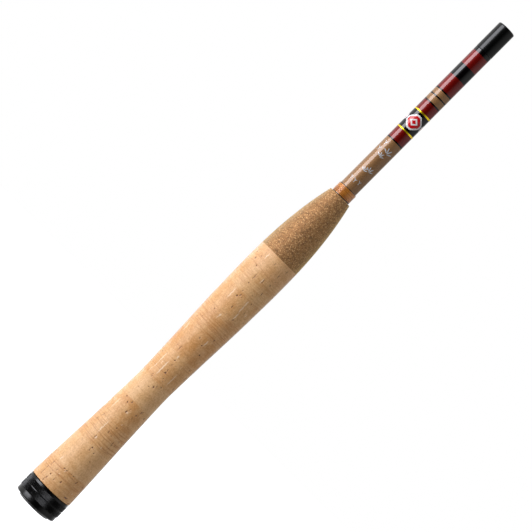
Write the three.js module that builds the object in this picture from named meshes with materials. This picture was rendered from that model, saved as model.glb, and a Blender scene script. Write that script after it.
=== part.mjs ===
// Collapsed telescopic fly rod with a double-swell cork grip, standing on its butt cap.
// Millimetres, +Z up the rod, origin at the centre of the foot.
import * as THREE from 'three';

// Whole rod
const closedLength = 404;
const sectionCount = 10;
const glueLine = 0.05;
const restGap = 0.3;

// Tapered tubes: each butt jams in the mouth of the tube round it
const mouthDiameter = 12;
const handleWall = 0.6;
const innerWall = 0.35;
const taperShare = 0.001;
const jamClearance = 0.05;
const jamBaseLength = 8;
const jamDiametersShare = 2.3;
const mouthChamfer = 0.12;
const topStep = 1.5;
const tipEndShare = 0.44;
const tipReach = 11;

// Butt end: radius over the knurl and the cork, and what steps in from it
const buttRadius = 15.1;
const flangeInset = 0.35;
const collarInset = 0.15;

// Rubber foot of the butt cap
const footRim = 3.2;
const footStandOut = 1.3;
const footSeatDepth = 1.2;
const footEdge = 0.8;
const footSideGap = 0.15;

// Screw cap
const flangeLength = 3.75;
const flangeFillet = 0.9;
const knurlDepth = 0.3;
const knurlPitch = 1.45;
const knurlBandLength = 3.95;
const grooveWidth = 0.25;
const grooveDepth = 0.45;
const capWeb = 5.7;
const cupGap = 0.75;
const spigotWall = 1.5;
const threadGap = 0.1;
const threadEngagement = 9;
const threadLead = 0.5;

// Rubber ring round the foot of the thread
const capRingSection = 0.8;
const capRingGap = 0.1;
const capRingGrooveDepth = 0.55;

// Soft pad that the collapsed sections stand on
const padHeight = 7;
const padSideGap = 0.2;

// Threaded sleeve with its collar
const collarLength = 2.25;
const collarChamfer = 0.7;
const sleeveWall = 1.7;
const spigotEndRoom = 1;
const lipThickness = 0.8;
const lipOverhang = 0.05;

// Cork grip
const gripLength = 246;
const waistRise = 86;
const waistRadius = 11.6;
const swellRise = 178.5;
const swellRadius = 14.35;
const noseWall = 1.75;
const noseFillet = 0.5;
const noseFallPower = 2.45;
const compositeLength = 51.7;
const buttToWaistShares = [[0.18, 0.17], [0.39, 0.41], [0.56, 0.61], [0.73, 0.785]];
const waistToSwellShares = [[0.14, 0.1], [0.34, 0.33], [0.6, 0.7], [0.8, 0.885]];
const corkRingShares = [0.081, 0.105, 0.098, 0.089, 0.091, 0.109, 0.095, 0.089, 0.088, 0.084, 0.071];

// Thread winding in front of the grip
const windingStart = 0.35;
const windingTurns = 8;
const windingGap = 0.45;
const strandDiameter = 0.3;
const underwrapWall = 0.15;
const underwrapGap = 0.04;

// Plug that closes the mouth
const plugLedge = 0.05;
const plugHeadLength = 20.4;
const plugHeadFillet = 0.9;
const plugCrown = 0.25;
const plugShankLength = 22;
const plugShankGap = 0.2;
const plugShankChamfer = 0.6;
const plugBoreRoom = 1.6;
const plugBoreEndRoom = 4.5;
const plugRingSection = 0.5;
const plugRingGap = 0.07;
const plugRingShares = [0.25, 0.7];
const plugRoom = 1.6;

// Ferrule over the end of the tip
const ferruleLength = 8;
const ferruleWall = 0.3;
const ferruleOverhang = 2.5;

// Steps round the turned pieces and along their outlines
const tubeSides = 24;
const handleSides = 48;
const corkSides = 32;
const metalSides = 40;
const ringSides = 24;
const ringSteps = 6;
const filletSteps = 3;
const tipSides = 12;
const strandSides = 6;
const ringOutlineSteps = 2;
const frontOutlineSteps = 8;
const gapCheckSteps = 4;

// Heights up the rod
const capTop = footStandOut + flangeLength + 2 * knurlBandLength + grooveWidth;
const cupFloor = footStandOut + footSeatDepth + capWeb;
const spigotTop = capTop + threadEngagement;
const lipBottom = spigotTop + spigotEndRoom;
const blankBottom = lipBottom + lipThickness;
const gripBottom = capTop + collarLength;
const gripTop = gripBottom + gripLength;
const compositeBottom = gripTop - compositeLength;
const naturalLength = compositeBottom - gripBottom;
const windingBottom = gripTop + windingStart;
const windingPitch = strandDiameter + windingGap;
const windingLength = windingTurns * windingPitch;
const mouthHeight = closedLength - plugHeadLength;
const plugBottom = mouthHeight - plugShankLength;
const sectionBottom = cupFloor + padHeight + restGap;
const tipTop = plugBottom + tipReach;

// Radii that follow from the blank and from the butt
const flangeRadius = buttRadius - flangeInset;
const footRadius = flangeRadius - footRim;
const collarRadius = buttRadius - collarInset;
const noseRadius = handleRadiusAt(gripTop) + noseWall;
const mouthBoreRadius = mouthDiameter / 2 - handleWall;
const sections = innerSections();
const cupRadius = sections[0].butt + cupGap;
const threadRadius = cupRadius + spigotWall;
const sleeveRadius = threadRadius + threadGap + sleeveWall;
const tipTube = sections[sections.length - 1];
const ferruleBore = boreRound(tipRadiusAt(tipTop - ferruleLength + ferruleOverhang), tipSides);
const ferruleRadius = ferruleBore + ferruleWall;

// Points of a quarter turn between two directions, given in quarter turns, as on a fillet
function arc(centreRadius, centreHeight, radius, fromQuarter, toQuarter) {
  const curve = new THREE.EllipseCurve(
    centreRadius, centreHeight, radius, radius,
    fromQuarter * Math.PI / 2, toQuarter * Math.PI / 2, toQuarter < fromQuarter,
  );
  return curve.getPoints(filletSteps).map((point) => [point.x, point.y]);
}

// Radius of a faceted bore that clears a round piece by the glue line all round
function boreRound(radius, sides) {
  return (radius + glueLine) / Math.cos(Math.PI / sides);
}

// A solid of revolution about Z from a profile walked out, up, in and down
function turned(profile, sides) {
  const onAxis = profile[0][0] === 0;
  const closed = onAxis ? profile : [...profile, profile[0]];
  const points = closed.map(([radius, height]) => new THREE.Vector2(radius, height));
  return new THREE.LatheGeometry(points, sides).rotateX(Math.PI / 2);
}

// A tube with straight tapered walls and a chamfered top edge, from height 0
function taperedTube({ length, butt, mouth, buttBore, mouthBore, chamfer, sides }) {
  return turned([
    [buttBore, 0],
    [butt, 0],
    [mouth, length - chamfer],
    [mouth - chamfer, length],
    [mouthBore, length],
  ], sides);
}

// A rubber ring of round section, centred on height 0
function rubberRing(centreRadius, section) {
  const around = Array.from({ length: ringSteps }, (_, k) => {
    const angle = (k + 1 / 2) * 2 * Math.PI / ringSteps;
    return [centreRadius + section * Math.cos(angle), section * Math.sin(angle)];
  });
  return turned(around, ringSides);
}

// Joins two rings of points, which may differ in count, with faces turned outwards
function stitch(triangles, lower, upper) {
  const reach = (ring, step) => (step + 1) / ring.length;
  let low = lower.length === 1 ? 1 : 0;
  let high = upper.length === 1 ? 1 : 0;
  while (low < lower.length || high < upper.length) {
    const lowFirst = high >= upper.length || reach(lower, low) <= reach(upper, high);
    if (low < lower.length && lowFirst) {
      triangles.push(lower[low], lower[(low + 1) % lower.length], upper[high % upper.length]);
      low += 1;
    } else {
      triangles.push(lower[low % lower.length], upper[(high + 1) % upper.length], upper[high % upper.length]);
      high += 1;
    }
  }
}

// A closed solid from rows of points, each row a ring round Z or one point on it
function fromRows(rows) {
  const triangles = [];
  for (let k = 0; k + 1 < rows.length; k += 1) {
    stitch(triangles, rows[k], rows[k + 1]);
  }
  return new THREE.BufferGeometry().setFromPoints(triangles);
}

// One ring of points; the radius may differ from step to step
function ringOf(count, height, radiusAt) {
  return Array.from({ length: count }, (_, k) => {
    const angle = k * 2 * Math.PI / count;
    const radius = radiusAt(k);
    return new THREE.Vector3(radius * Math.cos(angle), radius * Math.sin(angle), height);
  });
}

// Rows of a knurled band: small pyramids, whose points stand at every odd row and odd step
function knurlRows(bottom) {
  const teeth = Math.round(2 * Math.PI * buttRadius / knurlPitch);
  const tiers = Math.round(knurlBandLength / knurlPitch);
  return Array.from({ length: 2 * tiers + 1 }, (_, row) => ringOf(
    2 * teeth,
    bottom + knurlBandLength * row / (2 * tiers),
    (step) => buttRadius - (row % 2 === 1 && step % 2 === 1 ? 0 : knurlDepth),
  ));
}

// The screw cap: flange, two knurled bands, groove, threaded spigot and the cup inside it
function capGeometry() {
  const plain = ([radius, height]) => (
    radius === 0 ? [new THREE.Vector3(0, 0, height)] : ringOf(metalSides, height, () => radius)
  );
  const seatRadius = footRadius + footSideGap;
  const seatTop = footStandOut + footSeatDepth;
  const flangeTop = footStandOut + flangeLength;
  const valleyRadius = buttRadius - knurlDepth;
  const grooveBottom = flangeTop + knurlBandLength;
  const grooveTop = grooveBottom + grooveWidth;
  const ringGrooveRadius = threadRadius - capRingGrooveDepth;
  const ringGrooveTop = capTop + 2 * (capRingSection + capRingGap);
  const below = [
    [0, seatTop],
    [seatRadius, seatTop],
    [seatRadius, footStandOut],
    ...arc(flangeRadius - flangeFillet, footStandOut + flangeFillet, flangeFillet, -1, 0),
    [flangeRadius, flangeTop],
  ];
  const groove = [
    [valleyRadius - grooveDepth, grooveBottom],
    [valleyRadius - grooveDepth, grooveTop],
  ];
  const above = [
    [ringGrooveRadius, capTop],
    [ringGrooveRadius, ringGrooveTop],
    [threadRadius, ringGrooveTop + capRingGrooveDepth],
    [threadRadius, spigotTop - threadLead],
    [threadRadius - threadLead, spigotTop],
    [cupRadius, spigotTop],
    [cupRadius, cupFloor],
    [0, cupFloor],
  ];
  return fromRows([
    ...below.map(plain),
    ...knurlRows(flangeTop),
    ...groove.map(plain),
    ...knurlRows(grooveTop),
    ...above.map(plain),
  ]);
}

// The rubber foot: flat underneath, rounded edge, pressed into the cap's recess
function footGeometry() {
  return turned([
    [0, 0],
    ...arc(footRadius - footEdge, footEdge, footEdge, -1, 0),
    [footRadius, footStandOut + footSeatDepth],
    [0, footStandOut + footSeatDepth],
  ], metalSides);
}

// The sleeve: collar, room for the rubber ring, threaded bore, lip, and the socket of the blank
function sleeveGeometry(firstRingTop) {
  const boreRadius = threadRadius + threadGap;
  const socketRadius = boreRound(handleRadiusAt(blankBottom), metalSides);
  const lipRadius = handleRadiusAt(blankBottom) - handleWall + lipOverhang;
  const ringRoomRadius = threadRadius - capRingGrooveDepth + 2 * (capRingSection + capRingGap);
  const ringRoomTop = capTop + 2 * (capRingSection + capRingGap);
  return turned([
    [ringRoomRadius, capTop],
    [collarRadius, capTop],
    [collarRadius, gripBottom - collarChamfer],
    [collarRadius - collarChamfer, gripBottom],
    [sleeveRadius, gripBottom],
    [sleeveRadius, firstRingTop],
    [socketRadius, firstRingTop],
    [socketRadius, blankBottom],
    [lipRadius, blankBottom],
    [lipRadius, lipBottom],
    [boreRadius, lipBottom],
    [boreRadius, ringRoomTop],
    [ringRoomRadius, ringRoomTop],
  ], metalSides);
}

// Outer radius of the handle blank at a height
function handleRadiusAt(height) {
  return (mouthDiameter + taperShare * (mouthHeight - height)) / 2;
}

// Stations of the grip's outline from its butt to the swell, as [height, radius]
const gripStations = [
  [gripBottom, buttRadius],
  ...buttToWaistShares.map(([along, down]) => [
    gripBottom + along * waistRise,
    buttRadius - down * (buttRadius - waistRadius),
  ]),
  [gripBottom + waistRise, waistRadius],
  ...waistToSwellShares.map(([along, up]) => [
    gripBottom + waistRise + along * (swellRise - waistRise),
    waistRadius + up * (swellRadius - waistRadius),
  ]),
  [gripBottom + swellRise, swellRadius],
];

// Slope of the outline at a station: across its neighbours, and level at the swell
function slopeAt(k) {
  if (k === gripStations.length - 1) {
    return 0;
  }
  const before = gripStations[Math.max(k - 1, 0)];
  const after = gripStations[k + 1];
  return (after[1] - before[1]) / (after[0] - before[0]);
}

// Radius of the grip at a height: a cubic through the stations, then a power curve to the nose
function gripRadiusAt(height) {
  const swellHeight = gripBottom + swellRise;
  if (height >= swellHeight) {
    const fall = ((height - swellHeight) / (gripTop - swellHeight)) ** noseFallPower;
    return swellRadius - fall * (swellRadius - noseRadius);
  }
  const next = Math.max(gripStations.findIndex(([station]) => station > height), 1);
  const [fromHeight, fromRadius] = gripStations[next - 1];
  const [toHeight, toRadius] = gripStations[next];
  const run = toHeight - fromHeight;
  const t = (height - fromHeight) / run;
  const rise = t * t * (3 - 2 * t);
  const leave = t * (1 - t) * (1 - t) * run * slopeAt(next - 1);
  const arrive = t * t * (t - 1) * run * slopeAt(next);
  return fromRadius + rise * (toRadius - fromRadius) + leave + arrive;
}

// A stretch of the grip between two heights, with its own bore
function gripPiece(bottom, top, bore, steps, fillet) {
  const outline = Array.from({ length: steps + 1 }, (_, k) => {
    const height = bottom + (top - fillet - bottom) * k / steps;
    return [gripRadiusAt(height), height];
  });
  if (fillet > 0) {
    outline.push([gripRadiusAt(top) - fillet, top]);
  }
  return turned([[bore, bottom], ...outline, [bore, top]], corkSides);
}

// Heights of the seams between the natural cork rings
function corkSeams() {
  const seams = [gripBottom];
  for (const share of corkRingShares) {
    seams.push(seams[seams.length - 1] + share * naturalLength);
  }
  return seams;
}

// The centre line of the visible winding: one helix, with a straight end on either side
class WindingPath extends THREE.Curve {
  constructor(radius) {
    super();
    this.radius = radius;
    this.turnLength = Math.hypot(2 * Math.PI * radius, windingPitch);
    this.helixLength = windingTurns * this.turnLength;
    this.fullLength = this.helixLength + 2 * strandDiameter;
  }

  helixPoint(share) {
    const turns = share * windingTurns;
    const angle = turns * 2 * Math.PI;
    return new THREE.Vector3(
      this.radius * Math.cos(angle), this.radius * Math.sin(angle), turns * windingPitch,
    );
  }

  getPoint(t) {
    const along = t * this.fullLength - strandDiameter;
    const onHelix = THREE.MathUtils.clamp(along, 0, this.helixLength);
    const share = onHelix / this.helixLength;
    const angle = share * windingTurns * 2 * Math.PI;
    const ahead = new THREE.Vector3(-Math.sin(angle), Math.cos(angle), 0);
    return this.helixPoint(share).addScaledVector(ahead, along - onHelix);
  }
}

// Least gap of a wound strand to itself: between centres at least half a turn apart, less its diameter
function leastGap(points, stepsPerTurn, diameter) {
  let least = Infinity;
  for (let a = 0; a < points.length; a += 1) {
    for (let b = a + stepsPerTurn / 2; b < points.length; b += 1) {
      least = Math.min(least, points[a].distanceTo(points[b]) - diameter);
    }
  }
  return least;
}

// The visible winding, a strand carried along its path
function overwrapGeometry(radius) {
  const path = new WindingPath(radius);
  const steps = windingTurns * tubeSides + 2;
  const around = new THREE.EllipseCurve(0, 0, strandDiameter / 2, strandDiameter / 2);
  const section = new THREE.Shape(around.getPoints(strandSides).slice(0, strandSides));
  const count = windingTurns * tubeSides * gapCheckSteps;
  const points = Array.from({ length: count + 1 }, (_, k) => path.helixPoint(k / count));
  const gap = leastGap(points, tubeSides * gapCheckSteps, strandDiameter);
  console.log(`thread_overwrap: least gap to itself ${gap.toFixed(3)} mm`);
  return new THREE.ExtrudeGeometry(section, { steps, extrudePath: path });
}

// The plug: crowned head, shank with two ring grooves, and the blind bore that takes the tip
function plugGeometry(shankRadius, grooveRadius) {
  const grooveHalf = plugRingSection + plugRingGap;
  const grooves = plugRingShares.flatMap((share) => [
    [shankRadius, share * plugShankLength - grooveHalf],
    [grooveRadius, share * plugShankLength - grooveHalf],
    [grooveRadius, share * plugShankLength + grooveHalf],
    [shankRadius, share * plugShankLength + grooveHalf],
  ]);
  const top = plugShankLength + plugHeadLength;
  const plugHeadRadius = mouthDiameter / 2 + plugLedge;
  const plugBoreRadius = ferruleRadius + plugBoreRoom;
  const plugBoreDepth = tipReach + ferruleOverhang + plugBoreEndRoom;
  return turned([
    [0, plugBoreDepth],
    [plugBoreRadius, plugBoreDepth],
    [plugBoreRadius, 0],
    [shankRadius - plugShankChamfer, 0],
    [shankRadius, plugShankChamfer],
    ...grooves,
    [shankRadius, plugShankLength],
    [plugHeadRadius, plugShankLength],
    ...arc(plugHeadRadius - plugHeadFillet, top - plugCrown - plugHeadFillet, plugHeadFillet, 0, 1),
    [0, top],
  ], corkSides);
}

// A named piece in its own finish, standing at a height
function piece(name, geometry, { color, roughness, metalness = 0 }, height = 0) {
  const mesh = new THREE.Mesh(geometry, new THREE.MeshStandardMaterial({ color, roughness, metalness }));
  mesh.name = name;
  mesh.position.z = height;
  return mesh;
}

const naturalCork = { color: 0xcfa679, roughness: 0.75 };
const compositeCork = { color: 0x9c7146, roughness: 0.8 };
const blackMetal = { color: 0x17181a, roughness: 0.3, metalness: 0.9 };
const blackRubber = { color: 0x151515, roughness: 0.7 };
const greyFoam = { color: 0x4a4b4d, roughness: 0.95 };
const tanLacquer = { color: 0x8a6238, roughness: 0.15 };
const orangeThread = { color: 0xb5652c, roughness: 0.3 };
const darkThread = { color: 0x7a3f1e, roughness: 0.4 };
const brownLacquer = { color: 0x2a1a14, roughness: 0.15 };
const blackPlastic = { color: 0x101010, roughness: 0.2 };
const redSleeve = { color: 0x8c1f1c, roughness: 0.4 };

// The handle: blank, sleeve, cork and winding
function handleGroup() {
  const group = new THREE.Group();
  const seams = corkSeams();
  const blankLength = mouthHeight - blankBottom;
  const butt = handleRadiusAt(blankBottom);
  const mouth = handleRadiusAt(mouthHeight);
  group.add(piece('handle_blank', taperedTube({
    length: blankLength,
    butt,
    mouth,
    buttBore: butt - handleWall,
    mouthBore: mouth - handleWall,
    chamfer: mouthChamfer,
    sides: handleSides,
  }), tanLacquer, blankBottom));
  group.add(piece('butt_sleeve', sleeveGeometry(seams[1]), blackMetal));

  corkRingShares.forEach((_, k) => {
    const inside = k === 0 ? sleeveRadius : handleRadiusAt(seams[k]);
    const bore = boreRound(inside, corkSides);
    const geometry = gripPiece(seams[k], seams[k + 1], bore, ringOutlineSteps, 0);
    group.add(piece(`cork_ring_${k + 1}`, geometry, naturalCork));
  });
  const frontBore = boreRound(handleRadiusAt(compositeBottom), corkSides);
  const front = gripPiece(compositeBottom, gripTop, frontBore, frontOutlineSteps, noseFillet);
  group.add(piece('composite_cork_front', front, compositeCork));

  const underwrapBore = boreRound(handleRadiusAt(windingBottom), handleSides);
  const underwrapRadius = underwrapBore + underwrapWall;
  const strandRadius = (underwrapRadius + underwrapGap + strandDiameter / 2) / Math.cos(Math.PI / tubeSides);
  group.add(piece('thread_underwrap', turned([
    [underwrapBore, 0],
    [underwrapRadius, 0],
    [underwrapRadius, windingLength],
    [underwrapBore, windingLength],
  ], handleSides), darkThread, windingBottom));
  group.add(piece('thread_overwrap', overwrapGeometry(strandRadius), orangeThread, windingBottom));
  return group;
}

// The butt cap with its rubber ring, pad and foot
function capGroup() {
  const group = new THREE.Group();
  const ringRadius = threadRadius - capRingGrooveDepth + capRingGap + capRingSection;
  group.add(piece('cap_o_ring', rubberRing(ringRadius, capRingSection), blackRubber,
    capTop + capRingGap + capRingSection));
  group.add(piece('butt_cap', capGeometry(), blackMetal));
  group.add(piece('cap_cushion', turned([
    [0, 0],
    [cupRadius - padSideGap, 0],
    [cupRadius - padSideGap, padHeight],
    [0, padHeight],
  ], tubeSides), greyFoam, cupFloor));
  group.add(piece('butt_bumper', footGeometry(), blackRubber));
  return group;
}

// Sizes of the tubes, from the handle's mouth inwards: each butt jams in the mouth before it
function innerSections() {
  const tubes = [];
  let mouthBore = mouthBoreRadius;
  let mouthBefore = mouthDiameter;
  let topBefore = mouthHeight;
  for (let number = 2; number <= sectionCount; number += 1) {
    const isTip = number === sectionCount;
    const jamLength = jamBaseLength + jamDiametersShare * mouthBefore;
    const top = isTip ? tipTop : plugBottom - plugRoom - (number - 2) * topStep;
    const length = top - sectionBottom;
    const butt = mouthBore + taperShare * jamLength / 2 - jamClearance;
    const mouth = isTip ? butt * tipEndShare : butt - taperShare * length / 2;
    const travel = topBefore - jamLength - sectionBottom;
    tubes.push({ number, isTip, length, butt, mouth, travel });
    mouthBore = mouth - innerWall;
    mouthBefore = 2 * mouth;
    topBefore = top;
  }
  return tubes;
}

// Radius of the tip at a height
function tipRadiusAt(height) {
  return tipTube.butt - (tipTube.butt - tipTube.mouth) * (height - sectionBottom) / tipTube.length;
}

// The nested sections, each in a group carried by the one before, and the plug on the last
function sectionGroups(parent) {
  let carrier = parent;
  for (const { number, isTip, length, butt, mouth, travel } of sections) {
    const group = new THREE.Group();
    carrier.add(group);
    carrier = group;
    const name = isTip ? 'tip_section' : `section_${number}`;
    const geometry = isTip
      ? turned([[0, 0], [butt, 0], [mouth, length], [0, length]], tipSides)
      : taperedTube({
        length,
        butt,
        mouth,
        buttBore: butt - innerWall,
        mouthBore: mouth - innerWall,
        chamfer: mouthChamfer,
        sides: tubeSides,
      });
    group.add(piece(name, geometry, brownLacquer, sectionBottom));
    console.log(`${name}: slides out ${travel.toFixed(1)} mm`);
  }
  return carrier;
}

// The ferrule on the tip's end: a sleeve whose open end takes the line cord
function ferrule() {
  return piece('lilian_ferrule', turned([
    [ferruleBore, 0],
    [ferruleRadius, 0],
    [ferruleRadius, ferruleLength],
    [ferruleBore, ferruleLength],
  ], tipSides), redSleeve, tipTop - ferruleLength + ferruleOverhang);
}

// The plug and its rubber rings
function plugGroup() {
  const group = new THREE.Group();
  const ringRadius = mouthBoreRadius - plugRingGap - plugRingSection;
  const grooveRadius = ringRadius - plugRingSection - plugRingGap;
  group.add(piece('tip_plug', plugGeometry(mouthBoreRadius - plugShankGap, grooveRadius), blackPlastic, plugBottom));
  plugRingShares.forEach((share, k) => {
    const ring = rubberRing(ringRadius, plugRingSection);
    group.add(piece(`plug_o_ring_${k + 1}`, ring, blackRubber, plugBottom + share * plugShankLength));
  });
  return group;
}

const rod = new THREE.Group();
rod.name = 'tenkara_rod';
rod.add(handleGroup(), capGroup());
const tip = sectionGroups(rod);
tip.add(ferrule(), plugGroup());

export default rod;
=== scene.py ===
"""Studio scene of a collapsed ten-section rod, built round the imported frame.

Sizes are in millimetres until a mesh is filled. Heights run up the rod from its foot, and
turns are degrees round the rod from +X, so the turn -90 faces the camera.
"""

from __future__ import annotations

import logging
import math
from abc import ABC, abstractmethod
from collections.abc import Mapping, Sequence
from dataclasses import dataclass, field
from enum import Enum
from functools import cache
from typing import Any

import bpy
import numpy as np
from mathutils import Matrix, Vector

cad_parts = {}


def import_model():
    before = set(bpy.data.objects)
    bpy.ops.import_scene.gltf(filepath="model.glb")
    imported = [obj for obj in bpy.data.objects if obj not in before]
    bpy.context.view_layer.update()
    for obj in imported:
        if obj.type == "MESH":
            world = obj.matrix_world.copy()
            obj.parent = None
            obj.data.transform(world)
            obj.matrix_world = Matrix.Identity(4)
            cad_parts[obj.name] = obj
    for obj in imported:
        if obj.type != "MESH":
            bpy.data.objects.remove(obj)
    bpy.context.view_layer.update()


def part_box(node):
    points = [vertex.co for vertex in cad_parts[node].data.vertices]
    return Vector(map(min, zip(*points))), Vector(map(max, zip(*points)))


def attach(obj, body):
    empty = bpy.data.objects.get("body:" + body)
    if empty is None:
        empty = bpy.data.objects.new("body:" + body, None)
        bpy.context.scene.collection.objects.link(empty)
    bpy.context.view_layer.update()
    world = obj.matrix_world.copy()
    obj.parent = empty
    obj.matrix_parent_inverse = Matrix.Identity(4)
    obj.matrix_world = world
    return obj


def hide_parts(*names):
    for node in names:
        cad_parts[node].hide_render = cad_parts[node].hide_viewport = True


MM = 0.001
PER_METRE = 1000.0
POLE_SPREAD = 1e-6
HAIR = 0.004

Triple = tuple[float, float, float]
Colour = Triple
Outline = np.ndarray
Stretch = Outline | tuple[np.ndarray, np.ndarray]

log = logging.getLogger("rod")


class Body(Enum):
    """Moving bodies of the frame that pieces ride on."""

    HANDLE = "handle"
    CAP_RING = "cap_ring"
    CAP = "cap"
    TIP = "tip"
    PLUG = "plug"


class Slot(Enum):
    """Material slots of the record."""

    LACQUER = "banded_lacquer"
    METAL = "black_metal"
    CORK = "natural_cork"
    COMPOSITE = "composite_cork"
    THREAD = "winding_thread"
    RUBBER = "black_rubber"
    FOAM = "cushion_foam"
    DARK_LACQUER = "dark_lacquer"
    RED = "red_sleeve"
    PLASTIC = "black_plastic"


class Paint(Enum):
    """Lacquer colours, as linear red, green and blue, and the share of metal flake in each."""

    TAN = (0.305, 0.160, 0.067, 0.46)
    MAROON = (0.180, 0.0044, 0.0028, 0.72)
    BLACK = (0.0014, 0.0006, 0.0009, 0.0)
    SMOKE = (0.022, 0.012, 0.009, 0.2)
    YELLOW = (0.85, 0.56, 0.02, 0.3)


class Crease(Enum):
    """Edges that turn by more than this many degrees stay sharp."""

    FINE = 22.0
    PLAIN = 30.0
    CORK = 50.0
    ROUND = 60.0


# Surfaces


def smooth_step(low: float, high: float, value: np.ndarray) -> np.ndarray:
    """Rises from 0 at low to 1 at high along 3t^2 - 2t^3."""
    t = np.clip((value - low) / (high - low), 0.0, 1.0)
    return t * t * (3.0 - 2.0 * t)


def saw_depth(phase: np.ndarray) -> np.ndarray:
    """Goes from 0 at whole phases to 1 half way between them, in straight lines."""
    return 1.0 - np.abs(2.0 * (phase - np.floor(phase)) - 1.0)


def wave_sum(waves: Sequence[Triple], a: np.ndarray, height: np.ndarray, mean: float = 0.0) -> np.ndarray:
    """Waves round the rod that differ from height to height.

    Args:
        waves: For each wave its size, its count round the rod and its phase's change a millimetre.
        a: Turns in radians.
        height: Heights.
        mean: The value that the waves are added to.

    Returns:
        The sum.
    """
    return sum((size * np.sin(count * a + rate * height) for size, count, rate in waves), start=mean)


def turns_round(columns: int) -> np.ndarray:
    """Even turns round the rod, in radians, without the last one that closes the circle."""
    return np.arange(columns) * (2.0 * math.pi / columns)


@dataclass(frozen=True)
class Surface:
    """A grid of points, rows along a piece and columns round it.

    Columns always join up. A first or last row whose points coincide is a pole.

    Attributes:
        points: Places in millimetres, rows by columns by three.
        ring: Whether the last row joins the first.
        traces: Values by name, one number a point or four: a colour and a share.
    """

    points: np.ndarray
    ring: bool = False
    traces: Mapping[str, np.ndarray] = field(default_factory=dict)

    def kept(self) -> np.ndarray:
        """Marks the grid points that become vertices: a pole keeps one of its row.

        Returns:
            True or false, rows by columns.
        """
        kept = np.ones(self.points.shape[:2], bool)
        for row in (0, -1):
            if np.ptp(self.points[row], axis=0).max() < POLE_SPREAD:
                kept[row, 1:] = False
        return kept

    def faces(self) -> tuple[np.ndarray, np.ndarray]:
        """Joins neighbouring rows, turned outwards.

        Returns:
            Vertex numbers of the quads, and of the triangles round the poles.
        """
        number = np.cumsum(self.kept()).reshape(self.points.shape[:2]) - 1
        lower = number if self.ring else number[:-1]
        upper = np.roll(number, -1, axis=0) if self.ring else number[1:]
        corners = (lower, np.roll(lower, -1, axis=1), np.roll(upper, -1, axis=1), upper)
        quads = np.stack(corners, axis=-1).reshape(-1, 4)
        low_pole = quads[:, 0] == quads[:, 1]
        high_pole = quads[:, 2] == quads[:, 3]
        fans = np.concatenate([quads[low_pole][:, [0, 2, 3]], quads[high_pole][:, [0, 1, 2]]])
        return quads[~(low_pole | high_pole)], fans


def around(
    radius: np.ndarray,
    height: np.ndarray,
    columns: int,
    ring: bool = False,
    traces: Mapping[str, np.ndarray] | None = None,
) -> Surface:
    """Turns radii and heights about the rod's axis.

    The point at turn a is (radius cos a, radius sin a, height).

    Args:
        radius: One value a row, or rows by columns.
        height: The same for heights.
        columns: Steps round the axis.
        ring: Whether the outline closes on itself.
        traces: Values laid on the points.

    Returns:
        The surface.
    """
    grids = [part[:, None] if part.ndim == 1 else part for part in (radius, height)]
    turn = turns_round(columns)[None, :]
    r, z, a = np.broadcast_arrays(grids[0], grids[1], turn)
    return Surface(np.stack([r * np.cos(a), r * np.sin(a), z], axis=-1), ring, traces or {})


def path(*parts: Sequence[float] | np.ndarray) -> Outline:
    """Strings corners and curves, as (radius, height) pairs, into one outline."""
    return np.vstack([np.atleast_2d(np.asarray(part, float)) for part in parts])


def arc(centre: tuple[float, float], radius: float, start: float, stop: float, steps: int = 6) -> Outline:
    """Points centre + radius (cos a, sin a), for a in even steps of degrees."""
    a = np.radians(np.linspace(start, stop, steps + 1))
    return np.stack([centre[0] + radius * np.cos(a), centre[1] + radius * np.sin(a)], axis=-1)


def lathe(
    outline: Outline, columns: int, ring: bool = False, traces: Mapping[str, np.ndarray] | None = None
) -> Surface:
    """Turns one outline, walked out, up, in and down, about the rod's axis.

    Args:
        outline: Its (radius, height) points.
        columns: Steps round the axis.
        ring: Whether the outline closes on itself.
        traces: Values for each of its points, the same all round.

    Returns:
        The surface.
    """
    spread = {name: np.repeat(rows[:, None], columns, axis=1) for name, rows in (traces or {}).items()}
    return around(outline[:, 0], outline[:, 1], columns, ring, spread)


def lathe_stretches(
    stretches: Sequence[Stretch],
    columns: int,
    ring: bool = False,
    traces: Mapping[str, np.ndarray] | None = None,
) -> Surface:
    """Turns an outline that is plain in some stretches and varies round the axis in others.

    Args:
        stretches: In order, each a plain outline, or its radii, rows by columns, and its heights.
        columns: Steps round the axis.
        ring: Whether the last stretch joins the first.
        traces: Values laid on the points.

    Returns:
        The surface.
    """
    pairs = [
        part if isinstance(part, tuple) else (np.repeat(part[:, :1], columns, axis=1), part[:, 1])
        for part in stretches
    ]
    radius, height = (np.concatenate(parts) for parts in zip(*pairs))
    return around(radius, height, columns, ring, traces)


def torus(centre: tuple[float, float], section: float, columns: int = 96) -> Surface:
    """A circle of 24 points about (radius, height), turned about the rod's axis."""
    return lathe(arc(centre, section, -180.0, 165.0, 23), columns, ring=True)


def swept_strand(centres: np.ndarray, radius: float, rise: float, columns: int) -> Surface:
    """Carries an ellipse along a path that winds round the rod.

    Each ellipse lies in the plane of the direction away from the rod's axis and the one square
    to it and to the path: centre + rise cos b outward + radius sin b across. Both ends close.

    Args:
        centres: Points of the path, in order.
        radius: Half the strand's width.
        rise: Half its height.
        columns: Steps round the strand.

    Returns:
        The closed strand.
    """
    ahead = np.gradient(centres, axis=0)
    ahead /= np.linalg.norm(ahead, axis=1, keepdims=True)
    outward = centres * (1.0, 1.0, 0.0)
    outward /= np.linalg.norm(outward, axis=1, keepdims=True)
    across = np.cross(ahead, outward)
    b = turns_round(columns)[None, :, None]
    spokes = rise * np.cos(b) * outward[:, None], radius * np.sin(b) * across[:, None]
    circles = centres[:, None] + spokes[0] + spokes[1]
    ends = np.repeat(centres[[0, -1], None], columns, axis=1)
    return Surface(np.concatenate([ends[:1], circles, ends[1:]]))


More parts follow.
